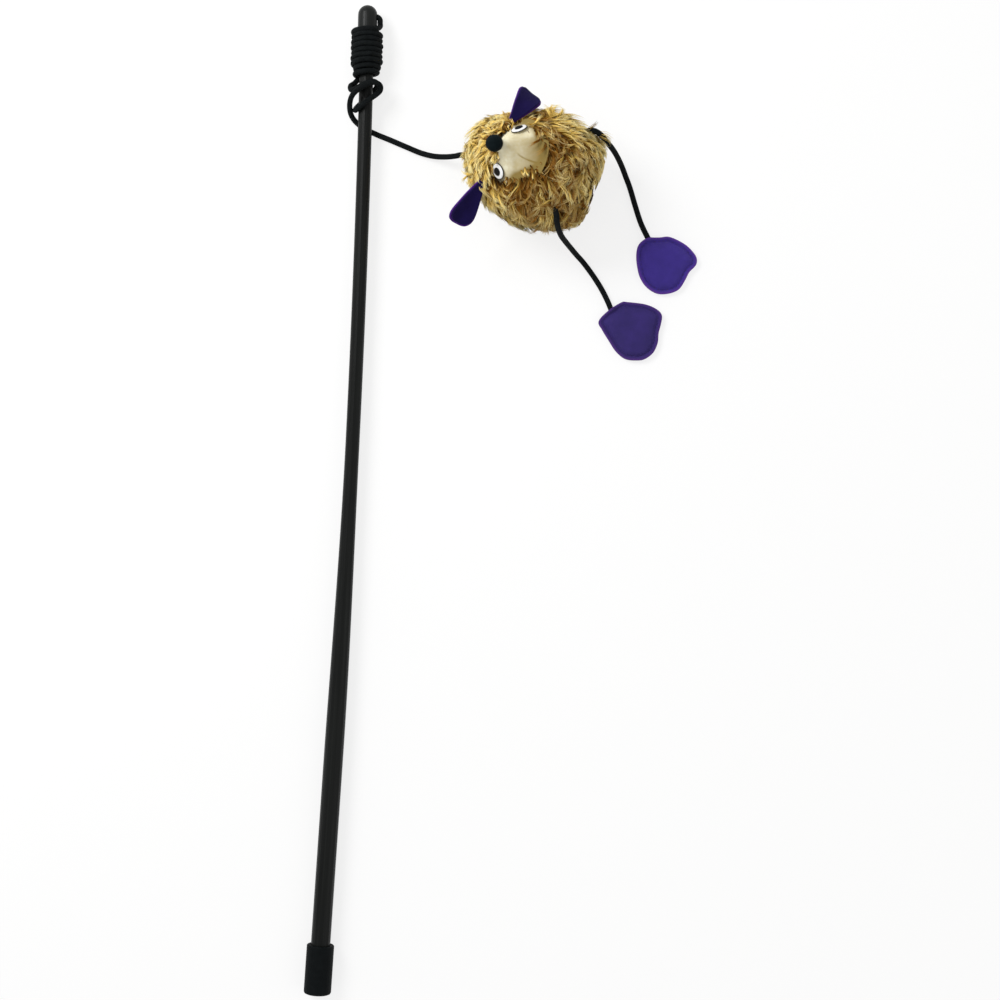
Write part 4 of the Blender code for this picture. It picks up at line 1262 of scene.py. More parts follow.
    def comb(self, roots: np.ndarray, normals: np.ndarray) -> tuple[np.ndarray, np.ndarray, np.ndarray]:
        """Return the way, the tone and the stand of each root from the marks round it."""
        places, ways = self.comb_field()
        tones, stands = np.array(self.marks)[:, 4:].T
        near = np.exp(-(np.linalg.norm(roots[:, None] - places[None], axis=2) / self.mark_reach) ** 2)
        tailwards = np.array((0.0, 0.25, -1.0)) * 0.002
        outwards = roots * (1, 1, 0) / self.shape.radius * 0.001
        way = near @ ways + tailwards + outwards
        way -= normals * np.sum(way * normals, axis=1)[:, None]
        plain, plain_tone, plain_stand = 0.03, 0.55, 0.8
        total = near.sum(axis=1) + plain
        tone, stand = near @ tones + plain * plain_tone, near @ stands + plain * plain_stand
        return unit(way, 1e-9), tone / total, stand / total

    def plant(self, rng: np.random.Generator, centres: np.ndarray, flat_tuft: np.ndarray) -> Locks:
        """Spread the locks of each tuft and leave the face bare.

        Args:
            rng: The source of chance.
            centres: The tufts' middles.
            flat_tuft: Which tufts stand on the flat base.

        Returns:
            The locks that are kept.
        """
        shape = self.shape
        tuft = np.repeat(np.arange(len(centres)), self.locks)
        count = len(tuft)
        normal = shape.normals(centres)
        normal[flat_tuft] = (0, 0, -1)
        first = unit(np.cross(normal, (0.3, 0.5, 0.81)))
        second = np.cross(normal, first)
        reach = self.tuft_width * np.sqrt(rng.uniform(0, 1, count))
        spin = rng.uniform(0, 2 * math.pi, count)
        ahead, aside = (reach * np.cos(spin))[:, None], (reach * np.sin(spin))[:, None]
        roots = centres[tuft] + first[tuft] * ahead + second[tuft] * aside
        flat = flat_tuft[tuft]
        roots[~flat] /= shape.distance(roots[~flat], self.root_inset)[:, None]
        upper = self.world(roots)[:, 2] > shape.middle().z + 2 * MM
        lifted, across = self.face_lift(roots)
        seen = self.studio.pixels(self.world(roots + lifted))
        bare = upper & inside(seen, self.face_edge)
        at_edge = edge_distance(seen, self.face_edge) < self.fringe * rng.uniform(0, 1, count)
        fringe = bare & at_edge & ((seen[:, 1] > 160) | (seen[:, 0] < 501))
        short = np.where(fringe, rng.uniform(*self.fringe_lengths, count), 1.0)
        kept = np.nonzero(~bare | fringe)[0]
        under = np.nonzero(across > shape.snout_rim - self.face_under)[0]
        chosen = np.concatenate((kept, under))
        lifted, on_face = lifted[chosen], across[chosen] > 0
        lifted[len(kept):] = 0
        on_face[len(kept):] = False
        return Locks(roots[chosen], tuft[chosen], flat[chosen], upper[chosen], lifted, on_face, short[chosen])

    def grow(self) -> tuple[np.ndarray, np.ndarray, np.ndarray, np.ndarray]:
        """Grow every hair.

        Returns:
            The centre lines of the hairs, their tones, their outward ways and their roots.
        """
        shape, rng = self.shape, np.random.default_rng(self.seed)
        centres = self.tuft_roots()
        tufts = len(centres)
        tuft_turn = rng.normal(0, self.tuft_turn, tufts)
        tuft_lift = np.clip(rng.normal(1.0, self.tuft_lift, tufts), *self.tuft_lifts)
        # Tufts that stand higher are painted lighter and lower ones darker, as light and shade.
        tuft_tone = rng.normal(0, self.tuft_tone, tufts) + 0.3 * (tuft_lift - 1)
        locks = self.plant(rng, centres, centres[:, 2] < -(shape.base - 3.6 * MM))
        roots, tuft, flat, on_face, short = locks.roots, locks.tuft, locks.flat, locks.on_face, locks.short
        count = len(roots)
        normals = shape.normals(roots)
        normals[flat] = (0, 0, -1)
        way, tone, stand = self.comb(roots, normals)
        way[flat] = unit(roots * (1, 1, 0), 1e-9)[flat]
        turn = tuft_turn[tuft] + rng.normal(0, self.lock_turn, count)
        way = way * np.cos(turn)[:, None] + np.cross(normals, way) * np.sin(turn)[:, None]
        cross = np.cross(normals, way)
        guard = rng.uniform(0, 1, count) < self.guard_share
        longer, higher, wider, stiffer = (np.where(guard, *shares) for shares in self.guard_or_under)
        length = self.lock_length * rng.uniform(*self.lock_lengths, count) * (0.6 + 0.4 * stand) * longer
        height = self.lock_height * rng.uniform(*self.lock_heights, count) * tuft_lift[tuft] * stand * higher
        flick = np.where(guard, rng.uniform(0, self.guard_flick, count), 0.0) * stand
        length[flat] *= self.base_short
        height[flat] *= self.base_short
        length *= np.where(on_face, self.face_length, 1.0) * short
        height *= np.where(on_face, self.face_height, 1.0) * short
        flick[flat | on_face] = 0
        curl = rng.normal(0, self.lock_curl, count)
        wave = rng.uniform(-self.lock_wave, self.lock_wave, count)
        phase = rng.uniform(0, 1, count)
        # Painted shade: the undercoat is darker, under the guard hair; the guard hairs are lighter.
        tone += np.where(guard, self.guard_light * (0.6 + 0.5 * tone), -0.2)
        tone += tuft_tone[tuft] + 0.3 * (short < 1)
        tone = np.clip(tone + rng.normal(0, self.lock_tone, count), 0, 1)
        lock = np.repeat(np.arange(count), self.hairs)
        total = len(lock)
        spread = self.lock_width * wider[lock] * np.sqrt(rng.uniform(0, 1, total))
        angle = rng.uniform(0, 2 * math.pi, total)
        offset_a, offset_b = spread * np.cos(angle), spread * np.sin(angle)
        own_length = length[lock] * rng.uniform(*self.hair_lengths, total)
        own_height = height[lock] * rng.uniform(*self.hair_heights, total)
        own_curl = curl[lock] + rng.normal(0, self.hair_curl, total)
        lines = np.zeros((total, len(self.levels), 3))
        around = ~flat[lock]
        for row, t in enumerate(self.levels):
            gather = 1 - 0.68 * t
            swing = wave[lock] * t * np.sin(2 * math.pi * (0.9 * t + phase[lock]))
            ahead = offset_a * gather + own_length * (t - 0.1 * t * (1 - t))
            aside = offset_b * gather + own_length * (own_curl * (1.4 * t * t - 0.4 * t) + swing)
            spot = roots[lock] + way[lock] * ahead[:, None] + cross[lock] * aside[:, None]
            spot += (centres[tuft] - roots)[lock] * self.tuft_gather * t
            lift = own_height * (1 - (1 - t) ** 1.8) + offset_a * 0.25 + flick[lock] * t ** 3
            spot[around] /= shape.distance(spot, self.root_inset)[around, None]
            up = shape.normals(spot)
            up[~around] = (0, 0, -1)
            lines[:, row] = spot + up * lift[:, None] + locks.lifted[lock]
        stood = self.base_stand * rng.uniform(*self.base_stands, count) * stiffer
        self.flatten_base(lines, stood[lock][:, None])
        tones = np.clip(tone[lock] + rng.normal(0, self.hair_tone, total), 0.0, 1.0)
        lines = self.world(lines)
        clear = ~(self.in_the_way(lines) & locks.upper[lock])
        ups = normals[lock] @ np.array(shape.frame())[:3, :3].T
        return lines[clear], tones[clear], ups[clear], roots[lock][clear]

    def flatten_base(self, lines: np.ndarray, stood: np.ndarray) -> None:
        """Bring hairs below the flat base back to it, but for how far each stands there."""
        low = self.shape.base - 1.6 * MM
        below = -(low + lines[..., 2])
        lines[..., 2] = np.where(below > 0, -(low + stood * (1 - np.exp(-below / stood))), lines[..., 2])

    def in_the_way(self, lines: np.ndarray) -> np.ndarray:
        """Return which hairs would hang in front of the eyes, the nose or the raised ear."""
        seen = self.studio.pixels(lines)
        blocked = np.zeros(len(lines), bool)
        for x, y, wide, high, above in self.bare_spots:
            near = ((seen[..., 0] - x) / wide) ** 2 + ((seen[..., 1] - y) / high) ** 2 < 1
            blocked |= (near & (lines[..., 2] > above)).any(axis=1)
        return blocked

    def build(self) -> None:
        """Build the coat in pieces of combed hair."""
        lines, tones, ups, roots = self.grow()
        dots, faces = self.strand_pattern()
        levels = np.array(self.levels)
        level = np.array([int(np.argmin(np.abs(levels - z))) for z in dots[:, 2]])
        flat = dots[:, :2] / np.maximum(np.linalg.norm(dots[:, :2], axis=1), 1e-9)[:, None]
        flat[level == len(levels) - 1] = 0
        thick = np.array(self.thickness)[level] * self.hair_radius
        order = np.argsort(roots[:, 2], kind="stable")
        for index, chosen in enumerate(np.array_split(order, self.pieces)):
            line = lines[chosen]
            ways = unit(np.gradient(line, axis=1), 1e-12)
            side = unit(np.cross(ways, (0.13, 0.29, 0.95)), 1e-12)
            other = np.cross(ways, side)
            around = side[:, level] * flat[:, 0][None, :, None] + other[:, level] * flat[:, 1][None, :, None]
            spots = line[:, level] + around * thick[None, :, None]
            spots[..., 2] = np.maximum(spots[..., 2], FLOOR_Z + 0.05 * MM)
            leaning = unit(ups[chosen][:, None] * 0.75 + around * 0.45)
            self.build_piece(f"fur_band_{index + 1}", spots, faces, tones[chosen], levels[level], leaning)
            LOG.info("fur band %d built, %d hairs", index + 1, len(line))

    def build_piece(
        self, name: str, spots: np.ndarray, faces: np.ndarray, tone: np.ndarray, along: np.ndarray,
        normals: np.ndarray,
    ) -> None:
        """Make one piece of the coat from its hairs' points, with a UV map named "strand".

        Args:
            name: The piece's name.
            spots: Points of every hair.
            faces: Triangles of one hair.
            tone: Each hair's tone.
            along: How far along the hair each of its points is.
            normals: Shading normal of every point.
        """
        count, size = spots.shape[:2]
        all_faces = (faces[None] + np.arange(count)[:, None, None] * size).reshape(-1, 3)
        mesh = bpy.data.meshes.new(name)
        mesh.vertices.add(count * size)
        mesh.vertices.foreach_set("co", spots.astype(np.float32).ravel())
        mesh.loops.add(all_faces.size)
        mesh.loops.foreach_set("vertex_index", all_faces.astype(np.int32).ravel())
        mesh.polygons.add(len(all_faces))
        mesh.polygons.foreach_set("loop_start", np.arange(0, all_faces.size, 3, dtype=np.int32))
        mesh.update(calc_edges=True)
        strand = np.stack((np.repeat(tone, faces.size), np.tile(along[faces.ravel()], count)), axis=1)
        layer = mesh.uv_layers.new(name="strand")
        layer.data.foreach_set("uv", strand.astype(np.float32).ravel())
        mesh.shade_smooth()
        mesh.normals_split_custom_set_from_vertices(normals.reshape(-1, 3).astype(np.float32))
        finish(add_object(name, mesh), Finishes.FUR, "toy")


@dataclass
class PlushHead:
    """The velour snout with its seam, the nose and the two eyes."""

    shape: PlushShape
    studio: Studio
    eye_radius: float = 3.75 * MM
    eye_thickness: float = 0.8 * MM
    eye_raise: float = math.radians(10)
    eye_behind_nose: float = 13.95 * MM
    eye_turn: float = math.radians(11.3)
    eye_lift: float = 0.36 * MM
    right_eye_lift: float = 0.45 * MM
    pupil_radius: float = 2.05 * MM
    pupil_thickness: float = 0.52 * MM
    thread_radius: float = 0.2 * MM
    thread_gap: float = 0.12 * MM
    seam_depth: float = 0.26 * MM
    seam_width: float = 0.34 * MM
    seam_marks: tuple[Spot, ...] = ((516, 152), (521, 156.5), (528, 160), (536, 163), (542, 165))

    def snout_place(self) -> Matrix:
        """Return the snout's frame in the CAD model's frame."""
        return self.shape.frame() @ self.shape.snout_frame()

    def build_face(self) -> None:
        """Loft the velour face, press in its seam and round its tip."""
        shape = self.shape
        start, length = shape.snout_start, shape.snout_length
        rings = [(0.0, start), (1.2 * MM, start + 0.02 * MM)]
        steps = 56
        for step in range(steps + 1):
            depth = length * 1.06 * step / steps
            rings.append((shape.snout_radius(depth), start + depth))
        rings.append((shape.snout_radius(length) * 0.97, start + length * 1.16))
        rings.append((0.0, start + length * 1.16))
        face = loft("velour_face", rings, self.snout_place(), 200)
        self.press_seam(face)
        smooth(face, 80)
        finish(face, Finishes.VELOUR, "toy")
        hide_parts("face_panel")

    def press_seam(self, face: Piece) -> None:
        """Press the mouth's dart seam into the face and store the face's painted shade, darkest along the
        seam and the face's edge.
        """
        mesh = face.data
        tree = BVHTree.FromPolygons([v.co for v in mesh.vertices], [tuple(p.vertices) for p in mesh.polygons])
        hits = [tree.ray_cast(*self.studio.pixel_ray(*mark))[0] for mark in self.seam_marks]
        line = np.array(smooth_line([hit for hit in hits if hit is not None], 0.4 * MM))
        dots = np.array([v.co for v in mesh.vertices])
        gaps = np.linalg.norm(dots[:, None] - line[None], axis=2)
        near, nearest = gaps.min(axis=1), gaps.argmin(axis=1) / (len(line) - 1)
        ends = np.clip(np.minimum(nearest, 1 - nearest) * 6, 0, 1)
        press = self.seam_depth * bell(near, 0.0, self.seam_width) * ends
        swell = 0.3 * self.seam_depth * bell(near, 2.2 * self.seam_width, self.seam_width) * ends
        for vertex, value in zip(mesh.vertices, swell - press):
            vertex.co += vertex.normal * float(value)
        # The face's "rim" attribute holds its painted shade, which the velour mixes towards its rim colour.
        add_values(mesh, "rim", self.face_shade(dots, 0.35 * bell(near, 0.0, 0.35 * MM) * ends))

    def face_shade(self, dots: np.ndarray, seam: np.ndarray) -> np.ndarray:
        """Return the painted shade of each of the face's points, from where it is seen."""
        seen = self.studio.pixels(dots)
        across, down = seen[:, 0], seen[:, 1]
        # Painted shade: darker towards the right and the bottom of the face, with a painted shadow beside the
        # nose.
        shade = 0.5 * ramp(across, 506, 8) + 0.5 * ramp(across, 518, 22) + 0.5 * ramp(down, 168, 10)
        shade += 0.35 * bell(across, 507, 5) * bell(down, 147, 5)
        border = edge_distance(seen, FurCoat.face_edge)
        border[~inside(seen, FurCoat.face_edge)] = 0
        # Painted shade in the seam's crease and inside the face's edge, where the pile meets it.
        shade += seam + 0.4 * bell(border, 0.0, 3.6) * np.clip((across - 505) / 12, 0.1, 1)
        # Painted light: the shade is taken away just below the upper eye, to brighten the velour there.
        shade *= 1 - 0.8 * bell(down, 133, 6) * (1 - ramp(across, 530, 8))
        return np.clip(shade, 0, 1)

    def eye_place(self, side: Side) -> Matrix:
        """Return the frame of an eye, with +Z out of the face."""
        shape = self.shape
        depth = self.eye_behind_nose - shape.snout_start
        step = 0.05 * MM
        slope = (shape.snout_radius(depth + step) - shape.snout_radius(depth - step)) / (2 * step)
        crown = shape.snout_frame().to_3x3().inverted() @ UP
        up = math.copysign(1, crown.y)
        out = Vector((side.value * math.cos(self.eye_turn), up * math.sin(self.eye_turn), 0))
        normal = (out - UP * slope).normalized()
        spot = normal.to_track_quat("Z", "Y").to_matrix().to_4x4()
        spot.translation = out * shape.snout_radius(depth) + UP * self.eye_behind_nose
        spot.translation += normal * self.eye_lift
        placed = self.snout_place() @ spot
        facing = (placed.to_3x3() @ UP).normalized()
        hinge = facing.cross(UP).normalized()
        made = (Matrix.Rotation(-side.value * self.eye_raise, 3, hinge) @ placed.to_3x3()).to_4x4()
        made.translation = placed.translation + facing * (0.0 if side is Side.LEFT else self.right_eye_lift)
        return made

    def build_eye(self, side: Side) -> None:
        """Build one eye: a domed white, a dark thread round it and a pupil."""
        word, place = side.word, self.eye_place(side)
        r, t, p = self.eye_radius, self.eye_thickness, self.pupil_radius
        dome = (
            (0, 0), (r * 0.97, 0), (r, t * 0.25), (r, t * 0.6), (r * 0.95, t * 0.85), (r * 0.8, t),
            (r * 0.4, t * 1.12), (0, t * 1.15),
        )
        white = loft(f"white_{word}", dome, place, 48)
        smooth(white, 60)
        finish(white, Finishes.EYE_WHITE, "toy")
        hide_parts(f"eye_white_{word}")
        disc = (
            (0, 0), (p * 0.97, 0), (p, 0.12 * MM), (p * 0.97, 0.3 * MM), (p * 0.8, 0.42 * MM),
            (p * 0.4, 0.5 * MM), (0, self.pupil_thickness),
        )
        pupil = loft(f"black_{word}", disc, place @ Matrix.Translation((0, 0, t * 1.12)), 40)
        smooth(pupil, 60)
        finish(pupil, Finishes.EYE_BLACK, "toy")
        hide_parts(f"pupil_{word}")
        deselect()
        bpy.ops.mesh.primitive_torus_add(
            major_segments=64, minor_segments=8, major_radius=r + self.thread_gap,
            minor_radius=self.thread_radius, location=(0, 0, t * 0.3),
        )
        ring = bpy.context.object
        ring.name = f"eye_thread_{word}"
        settle(ring, place)
        smooth(ring, 80)
        finish(ring, Finishes.EYE_BLACK, "toy")

    def build(self) -> None:
        """Build the whole head."""
        self.build_face()
        dress_node("nose", Finishes.NOSE)
        for side in Side:
            self.build_eye(side)
        LOG.info("head built")


@dataclass
class Ear:
    """A felt ear of two leaves, cupped, with its cut edge showing."""

    shape: PlushShape
    side: Side
    direction: Point
    twist: float
    droop: float = 0.0
    length: float = 23 * MM
    felt: float = 0.9 * MM
    cup: float = 1.6 * MM
    cup_width: float = 6.5 * MM
    bow: float = 0.5 * MM
    cut_edge: float = 0.22 * MM
    back_gap: float = 0.15 * MM
    front_lift: float = 0.1 * MM
    root: float = 2.4 * MM
    base: Point = (17.3, -13.2, 18.9)
    outline: tuple[Spot, ...] = (
        (0, 1.7), (0.14, 2.7), (0.28, 3.9), (0.42, 4.9), (0.55, 5.7), (0.66, 6.3), (0.76, 6.6), (0.84, 6.45),
        (0.91, 5.8), (0.96, 4.8), (0.99, 3.4), (1.0, 2.0),
    )

    def place(self) -> Matrix:
        """Return the ear's frame: X out along the ear, Z to its front."""
        x, y, z = self.base
        lean = Matrix.Rotation(self.shape.lean, 3, "Y")
        spot = np.array([lean @ Vector((self.side.value * x, y, z))]) * MM
        base = Vector((spot / self.shape.distance(spot)[:, None])[0])
        along = (lean @ Vector(self.direction)).normalized()
        face = (Vector((0, -1, 0)) + along * along.y).normalized()
        made = Matrix.Translation(base - along * self.root) @ matrix_of(along, face.cross(along), face)
        return self.shape.frame() @ (made @ Matrix.Rotation(self.twist, 4, "X"))

    def leaf(self, name: str, widen: float, shorten: float, lift: float, look: Finish) -> Piece:
        """Model one leaf of felt.

        Args:
            name: The piece's name.
            widen: Share of the outline's width.
            shorten: Share of the outline's length.
            lift: Height of the leaf's back over the ear's middle.
            look: Its finish.

        Returns:
            The leaf.
        """
        deselect()
        bpy.ops.mesh.primitive_grid_add(x_subdivisions=24, y_subdivisions=14, size=2)
        obj = bpy.context.object
        obj.name = name
        shares, widths = np.array(self.outline).T
        for vertex in obj.data.vertices:
            share = 1 - (1 - (vertex.co.x + 1) / 2) ** 1.6
            across = vertex.co.y * (np.interp(share, shares, widths * MM) * widen)
            curl = self.cup * (across / self.cup_width) ** 2 * min(1.0, share * 2)
            high = lift + curl + self.bow * math.sin(share * math.pi)
            turn = self.droop * share * shorten
            reach = self.length * (math.sin(turn) / self.droop if self.droop else share * shorten)
            fall = self.length * ((1 - math.cos(turn)) / self.droop if self.droop else 0.0)
            vertex.co = (reach + high * math.sin(turn), across, high * math.cos(turn) - fall)
        shell = obj.modifiers.new("felt", "SOLIDIFY")
        shell.thickness = self.felt
        shell.offset = 1
        rounding = obj.modifiers.new("cut_edge", "BEVEL")
        rounding.width = self.cut_edge
        rounding.segments = 2
        rounding.limit_method = "ANGLE"
        apply_all(obj)
        settle(obj, self.place())
        enter(obj)
        turn_outwards()
        smooth(obj, 55)
        return finish(obj, look, f"ear_{self.side.word}")

    def build(self) -> None:
        """Build both leaves."""
        word, behind, before = self.side.word, -(self.felt + self.back_gap), self.front_lift
        back = self.leaf(f"ear_back_{word}", 1.0, 1.0, behind, Finishes.EAR_OUTER)
        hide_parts(f"ear_{word}_outer")
        front = self.leaf(f"ear_front_{word}", 0.87, 0.955, before, Finishes.EAR_LINING)
        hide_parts(f"ear_{word}_lining")
        LOG.info("ear %s built", word)


@dataclass
class Plush:
    """The plush body with its coat, head and ears."""

    studio: Studio
    shape: PlushShape = field(default_factory=PlushShape)
    skin_inset: float = 3.5 * MM
    face_margin: float = 0.4 * MM
    face_over: float = 0.8 * MM

    def build_skin(self) -> None:
        """Build the pelt's backing, which closes the coat from below."""
        shape = self.shape
        deselect()
        bpy.ops.mesh.primitive_uv_sphere_add(segments=96, ring_count=72, radius=1)
        skin = bpy.context.object
        skin.name = "pelt_backing"
        enter(skin)
        radius, half = shape.radius - self.skin_inset, shape.half_length - self.skin_inset
        bpy.ops.transform.resize(value=(radius, radius, half), center_override=(0, 0, 0))
        floor = (0, 0, -(shape.base - 2.8 * MM))
        bpy.ops.mesh.bisect(plane_co=floor, plane_no=(0, 0, -1), clear_outer=True, use_fill=True)
        bpy.ops.object.mode_set(mode="OBJECT")
        self.hollow_face(skin)
        settle(skin, shape.frame())
        smooth(skin, 50)
        finish(skin, Finishes.SKIN, "toy")
        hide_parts("fur_pelt", "pelt_base", "stuffing")

    def hollow_face(self, skin: Piece) -> None:
        """Press the backing in behind the velour face, so that it shows nowhere round it."""
        shape = self.shape
        snout = shape.snout_frame()
        home = snout.inverted()
        for vertex in skin.data.vertices:
            seen = home @ vertex.co
            across = math.hypot(seen.x, seen.y)
            behind = seen.z > shape.snout_start + shape.snout_length
            if across > shape.snout_rim - self.face_margin or behind:
                continue
            depth = 0.0
            while shape.snout_radius(depth) < across:
                depth += 0.1 * MM
            wanted = shape.snout_start + depth + self.face_over
            if seen.z < wanted:
                seen.z = wanted
                vertex.co = snout @ seen

    def build(self) -> None:
        """Build the whole plush."""
        self.build_skin()
        FurCoat(self.shape, self.studio).build()
        PlushHead(self.shape, self.studio).build()
        Ear(self.shape, Side.LEFT, (0.82, 0.42, -0.15), math.radians(5), math.radians(42)).build()
        Ear(self.shape, Side.RIGHT, (-0.96, 0.12, 0.12), math.radians(-28), length=24.2 * MM).build()


# The feet


@dataclass
class Foot:
    """A felt foot: a flat sole, a padded top and a row of stitches inside the edge."""

    side: Side
    ankle: Spot
    heading: float
    look: Finish
    outline: tuple[Spot, ...]
    felt: float = 1.2 * MM
    gap: float = 0.3 * MM
    swell: float = 2.21 * MM
    swell_width: float = 7 * MM
    groove: float = 0.55 * MM
    lip: float = 0.25 * MM
    lip_inset: float = 0.9 * MM
    seam_width: float = 0.7 * MM
    ripple: float = 0.12 * MM
    stitch_inset: float = 2.1 * MM
    stitch_length: float = 1.5 * MM
    stitch_gap: float = 0.75 * MM
    thread_radius: float = 0.17 * MM
    channel: float = 2.0 * MM
    channel_rise: float = 1.55 * MM
    channel_reach: float = 1.2 * MM
    notch: float = 1.75 * MM

    def place(self) -> Matrix:
        """Return the foot's frame: X towards the toes, from the ankle, on the floor."""
        x, y = self.ankle
        return Matrix.Translation((x * MM, y * MM, FLOOR_Z)) @ Matrix.Rotation(self.heading, 4, "Z")

    def edge(self, count: int) -> np.ndarray:
        """Return evenly spaced points of the outline on a smooth closed curve."""
        spots = [Vector((a, b, 0)) * MM for a, b in self.outline]
        rows = np.array(smooth_line([*spots[-3:], *spots, *spots[:4]], 0.25 * MM))
        first = np.linalg.norm(rows - np.array(spots[0]), axis=1)
        later = len(rows) // 2
        start, end = int(np.argmin(first[:len(rows) // 3])), later + int(np.argmin(first[later:]))
        loop = rows[start:end + 1]
        way = travelled(loop)
        return read_off(np.linspace(0, way[-1], count, endpoint=False), way, loop)

    def cushion(self, name: str, height: float, top: float, swell: float) -> Piece:
        """Model a closed pad over the outline by extruding it up and drawing it in.

        Args:
            name: The piece's name.
            height: Height of its underside over the floor.
            top: Height of its upper rim over the floor.
            swell: How far its middle stands over that rim.

        Returns:
            The pad, with an attribute named "rim" that is 1 at its cut edge.
        """
        count = 96
        ring = self.edge(count)
        middle = ring.mean(axis=0)
        first = 0.04
        deselect()
        bpy.ops.mesh.primitive_circle_add(vertices=count, radius=10 * MM, fill_type="NOTHING")
        obj = bpy.context.object
        obj.name = name
        for vertex, spot in zip(obj.data.vertices, ring):
            vertex.co = Vector(middle + (spot - middle) * first) + Vector((0, 0, height))
        enter(obj)
        last = first
        for share in (0.15, 0.28, 0.42, 0.55, 0.66, 0.75, 0.82, 0.88, 0.93, 0.97, 1.0):
            self.ring_out(share / last, middle, height)
            last = share
        bpy.ops.mesh.extrude_region_move(TRANSFORM_OT_translate={"value": (0, 0, top - height)})
        for share in (0.985, 0.955, 0.93, 0.9, 0.865, 0.83, 0.78, 0.71, 0.62, 0.5, 0.36, 0.22, 0.1, 0.04):
            self.ring_out(share / last, middle, top)
            last = share
        bpy.ops.mesh.edge_face_add()
        bpy.ops.mesh.select_all(action="DESELECT")
        bpy.ops.mesh.select_mode(type="EDGE")
        bpy.ops.mesh.select_non_manifold()
        bpy.ops.mesh.edge_face_add()
        turn_outwards()
        self.puff(obj, ring, top, swell)
        return obj

    def ring_out(self, share: float, middle: np.ndarray, height: float) -> None:
        """Extrude the selected ring in its plane and resize it about the foot's middle."""
        bpy.ops.mesh.extrude_region_move(TRANSFORM_OT_translate={"value": (0, 0, 0)})
        bpy.ops.transform.resize(value=(share, share, 1), center_override=(middle[0], middle[1], height))

    def puff(self, obj: Piece, ring: np.ndarray, top: float, swell: float) -> None:
        """Swell a pad's top, draw it in along the stitches, raise it over the leg and mark its rim."""
        dots = np.array([vertex.co for vertex in obj.data.vertices])
        gap = np.linalg.norm(dots[:, None, :2] - ring[None, :, :2], axis=2).min(axis=1)
        if swell > 0:
            upper = dots[:, 2] > top - 1e-6
            inner = ramp(gap, self.stitch_inset, self.swell_width)
            rise = swell * (1 - (1 - inner) ** 2)
            groove = self.groove * bell(gap, self.stitch_inset, self.seam_width)
            lip = self.lip * bell(gap, self.lip_inset, self.seam_width)
            x, y = dots[:, 0] / MM, dots[:, 1] / MM
            wave = self.ripple * np.sin(x * 0.9 + 1.3 * self.side.value) * np.cos(y * 0.7 + 0.4)
            dots[upper, 2] += (rise - groove + lip + wave * inner)[upper]
            beyond = np.maximum(dots[:, 0] - self.channel_reach, 0.0)
            off = np.sqrt(dots[:, 1] ** 2 + beyond ** 2)
            over_leg = self.channel_rise * np.exp(-(off / self.channel) ** 4)
            dots[:, 2] += over_leg * (1 - np.clip(rise / (1.6 * MM), 0, 1) * upper)
            obj.data.vertices.foreach_set("co", dots.astype(np.float32).ravel())
        add_values(obj.data, "rim", bell(gap, 0.0, 0.9 * MM))

    def stitch(self) -> Piece:
        """Model one stitch and copy it all round, inside the edge."""
        ring = self.edge(480)
        step = unit(np.roll(ring, -1, axis=0) - np.roll(ring, 1, axis=0))
        inwards = np.stack((-step[:, 1], step[:, 0], 0 * step[:, 2]), axis=1)
        if np.sum((ring.mean(axis=0) - ring[0]) * inwards[0]) < 0:
            inwards = -inwards
        line = ring + inwards * self.stitch_inset
        way = travelled(line)
        count = int(way[-1] / (self.stitch_length + self.stitch_gap))
        deselect()
        bpy.ops.mesh.primitive_uv_sphere_add(segments=8, ring_count=6, radius=self.thread_radius)
        pattern = bpy.context.object
        enter(pattern)
        long = self.stitch_length / (2 * self.thread_radius)
        bpy.ops.transform.resize(value=(long, 1, 0.8), center_override=(0, 0, 0))
        bpy.ops.object.mode_set(mode="OBJECT")
        top = self.felt * 2 + self.gap - 0.36 * MM
        copies = []
        for index in range(count):
            at = way[-1] * index / count
            x, y, _ = read_off(at, way, line)
            across, up, _ = read_off(at, way, step)
            turn = Matrix.Rotation(math.atan2(up, across), 4, "Z")
            copy = add_object("stitch", pattern.data.copy())
            copy.data.transform(Matrix.Translation((x, y, top)) @ turn)
            copies.append(copy)
        bpy.data.objects.remove(pattern, do_unlink=True)
        take(copies[0])
        for copy in copies:
            copy.select_set(True)
        bpy.ops.object.join()
        seam = bpy.context.object
        seam.name = f"foot_stitches_{self.side.word}"
        return seam

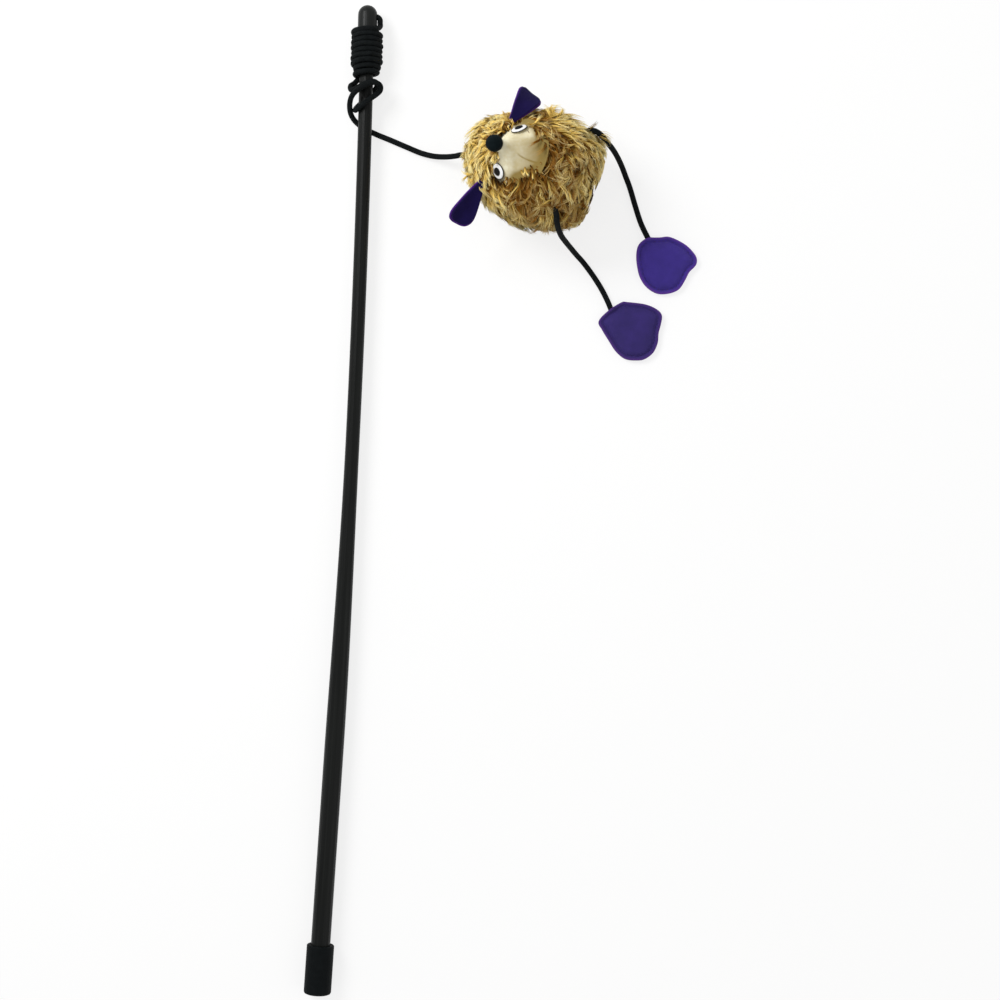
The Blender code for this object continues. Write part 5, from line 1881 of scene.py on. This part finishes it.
    def cut_notch(self, obj: Piece) -> None:
        """Cut the notch that takes the end of the leg."""
        deselect()
        bpy.ops.mesh.primitive_cylinder_add(vertices=24, radius=self.notch, depth=30 * MM)
        tool = bpy.context.object
        step = obj.modifiers.new("notch", "BOOLEAN")
        step.operation = "DIFFERENCE"
        step.solver = "EXACT"
        step.object = tool
        apply_all(obj)
        bpy.data.objects.remove(tool, do_unlink=True)

    def build(self) -> None:
        """Build the sole, the top and the stitches."""
        word, place = self.side.word, self.place()
        sole = self.cushion(f"foot_sole_{word}", 0.02 * MM, self.felt, 0.0)
        under, over = self.felt + self.gap * 0.3, 2 * self.felt + self.gap
        top = self.cushion(f"foot_pad_{word}", under, over, self.swell)
        self.cut_notch(sole)
        for piece, node in ((sole, f"foot_{word}_bottom"), (top, f"foot_{word}_top")):
            settle(piece, place)
            smooth(piece, 55)
            finish(piece, self.look, f"foot_{word}")
            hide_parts(node)
        seam = settle(self.stitch(), place)
        smooth(seam, 80)
        finish(seam, Finishes.THREAD, f"foot_{word}")
        LOG.info("foot %s built", word)


LEFT_FOOT = Foot(
    Side.LEFT, (139.3, 389.6), math.radians(-76), Finishes.FOOT_LEFT,
    (
        (3.0, -5.0), (0.9, -0.5), (1.6, 6.0), (2.3, 10.9), (7.2, 17.6), (12.4, 21.3), (15.9, 22.2),
        (18.7, 21.0), (21.3, 17.4), (25.3, 14.3), (28.9, 10.7), (30.0, 5.4), (29.0, -0.3), (25.0, -4.9),
        (19.4, -7.4), (12.8, -7.8), (7.0, -7.0),
    ),
)
RIGHT_FOOT = Foot(
    Side.RIGHT, (122.8, 352.9), math.radians(-61.5), Finishes.FOOT_RIGHT,
    (
        (4.1, -8.2), (1.4, -2.0), (0.2, 6.0), (1.4, 9.0), (6.2, 16.7), (10.9, 20.9), (14.6, 21.9),
        (18.1, 19.9), (22.1, 16.7), (26.4, 14.2), (29.9, 10.1), (31.0, 5.0), (29.9, 1.1), (26.9, -3.8),
        (21.6, -6.5), (14.8, -7.6), (8.8, -8.3),
    ),
)


def main() -> None:
    """Build the studio and dress the toy, from the rod to the feet."""
    logging.basicConfig(level=logging.INFO, format="%(name)s: %(message)s")
    studio = Studio()
    studio.build()
    wand = Wand()
    Cords(wand).build()
    wand.dress()
    Plush(studio).build()
    LEFT_FOOT.build()
    RIGHT_FOOT.build()
    deselect()


if __name__ == "__main__":
    main()
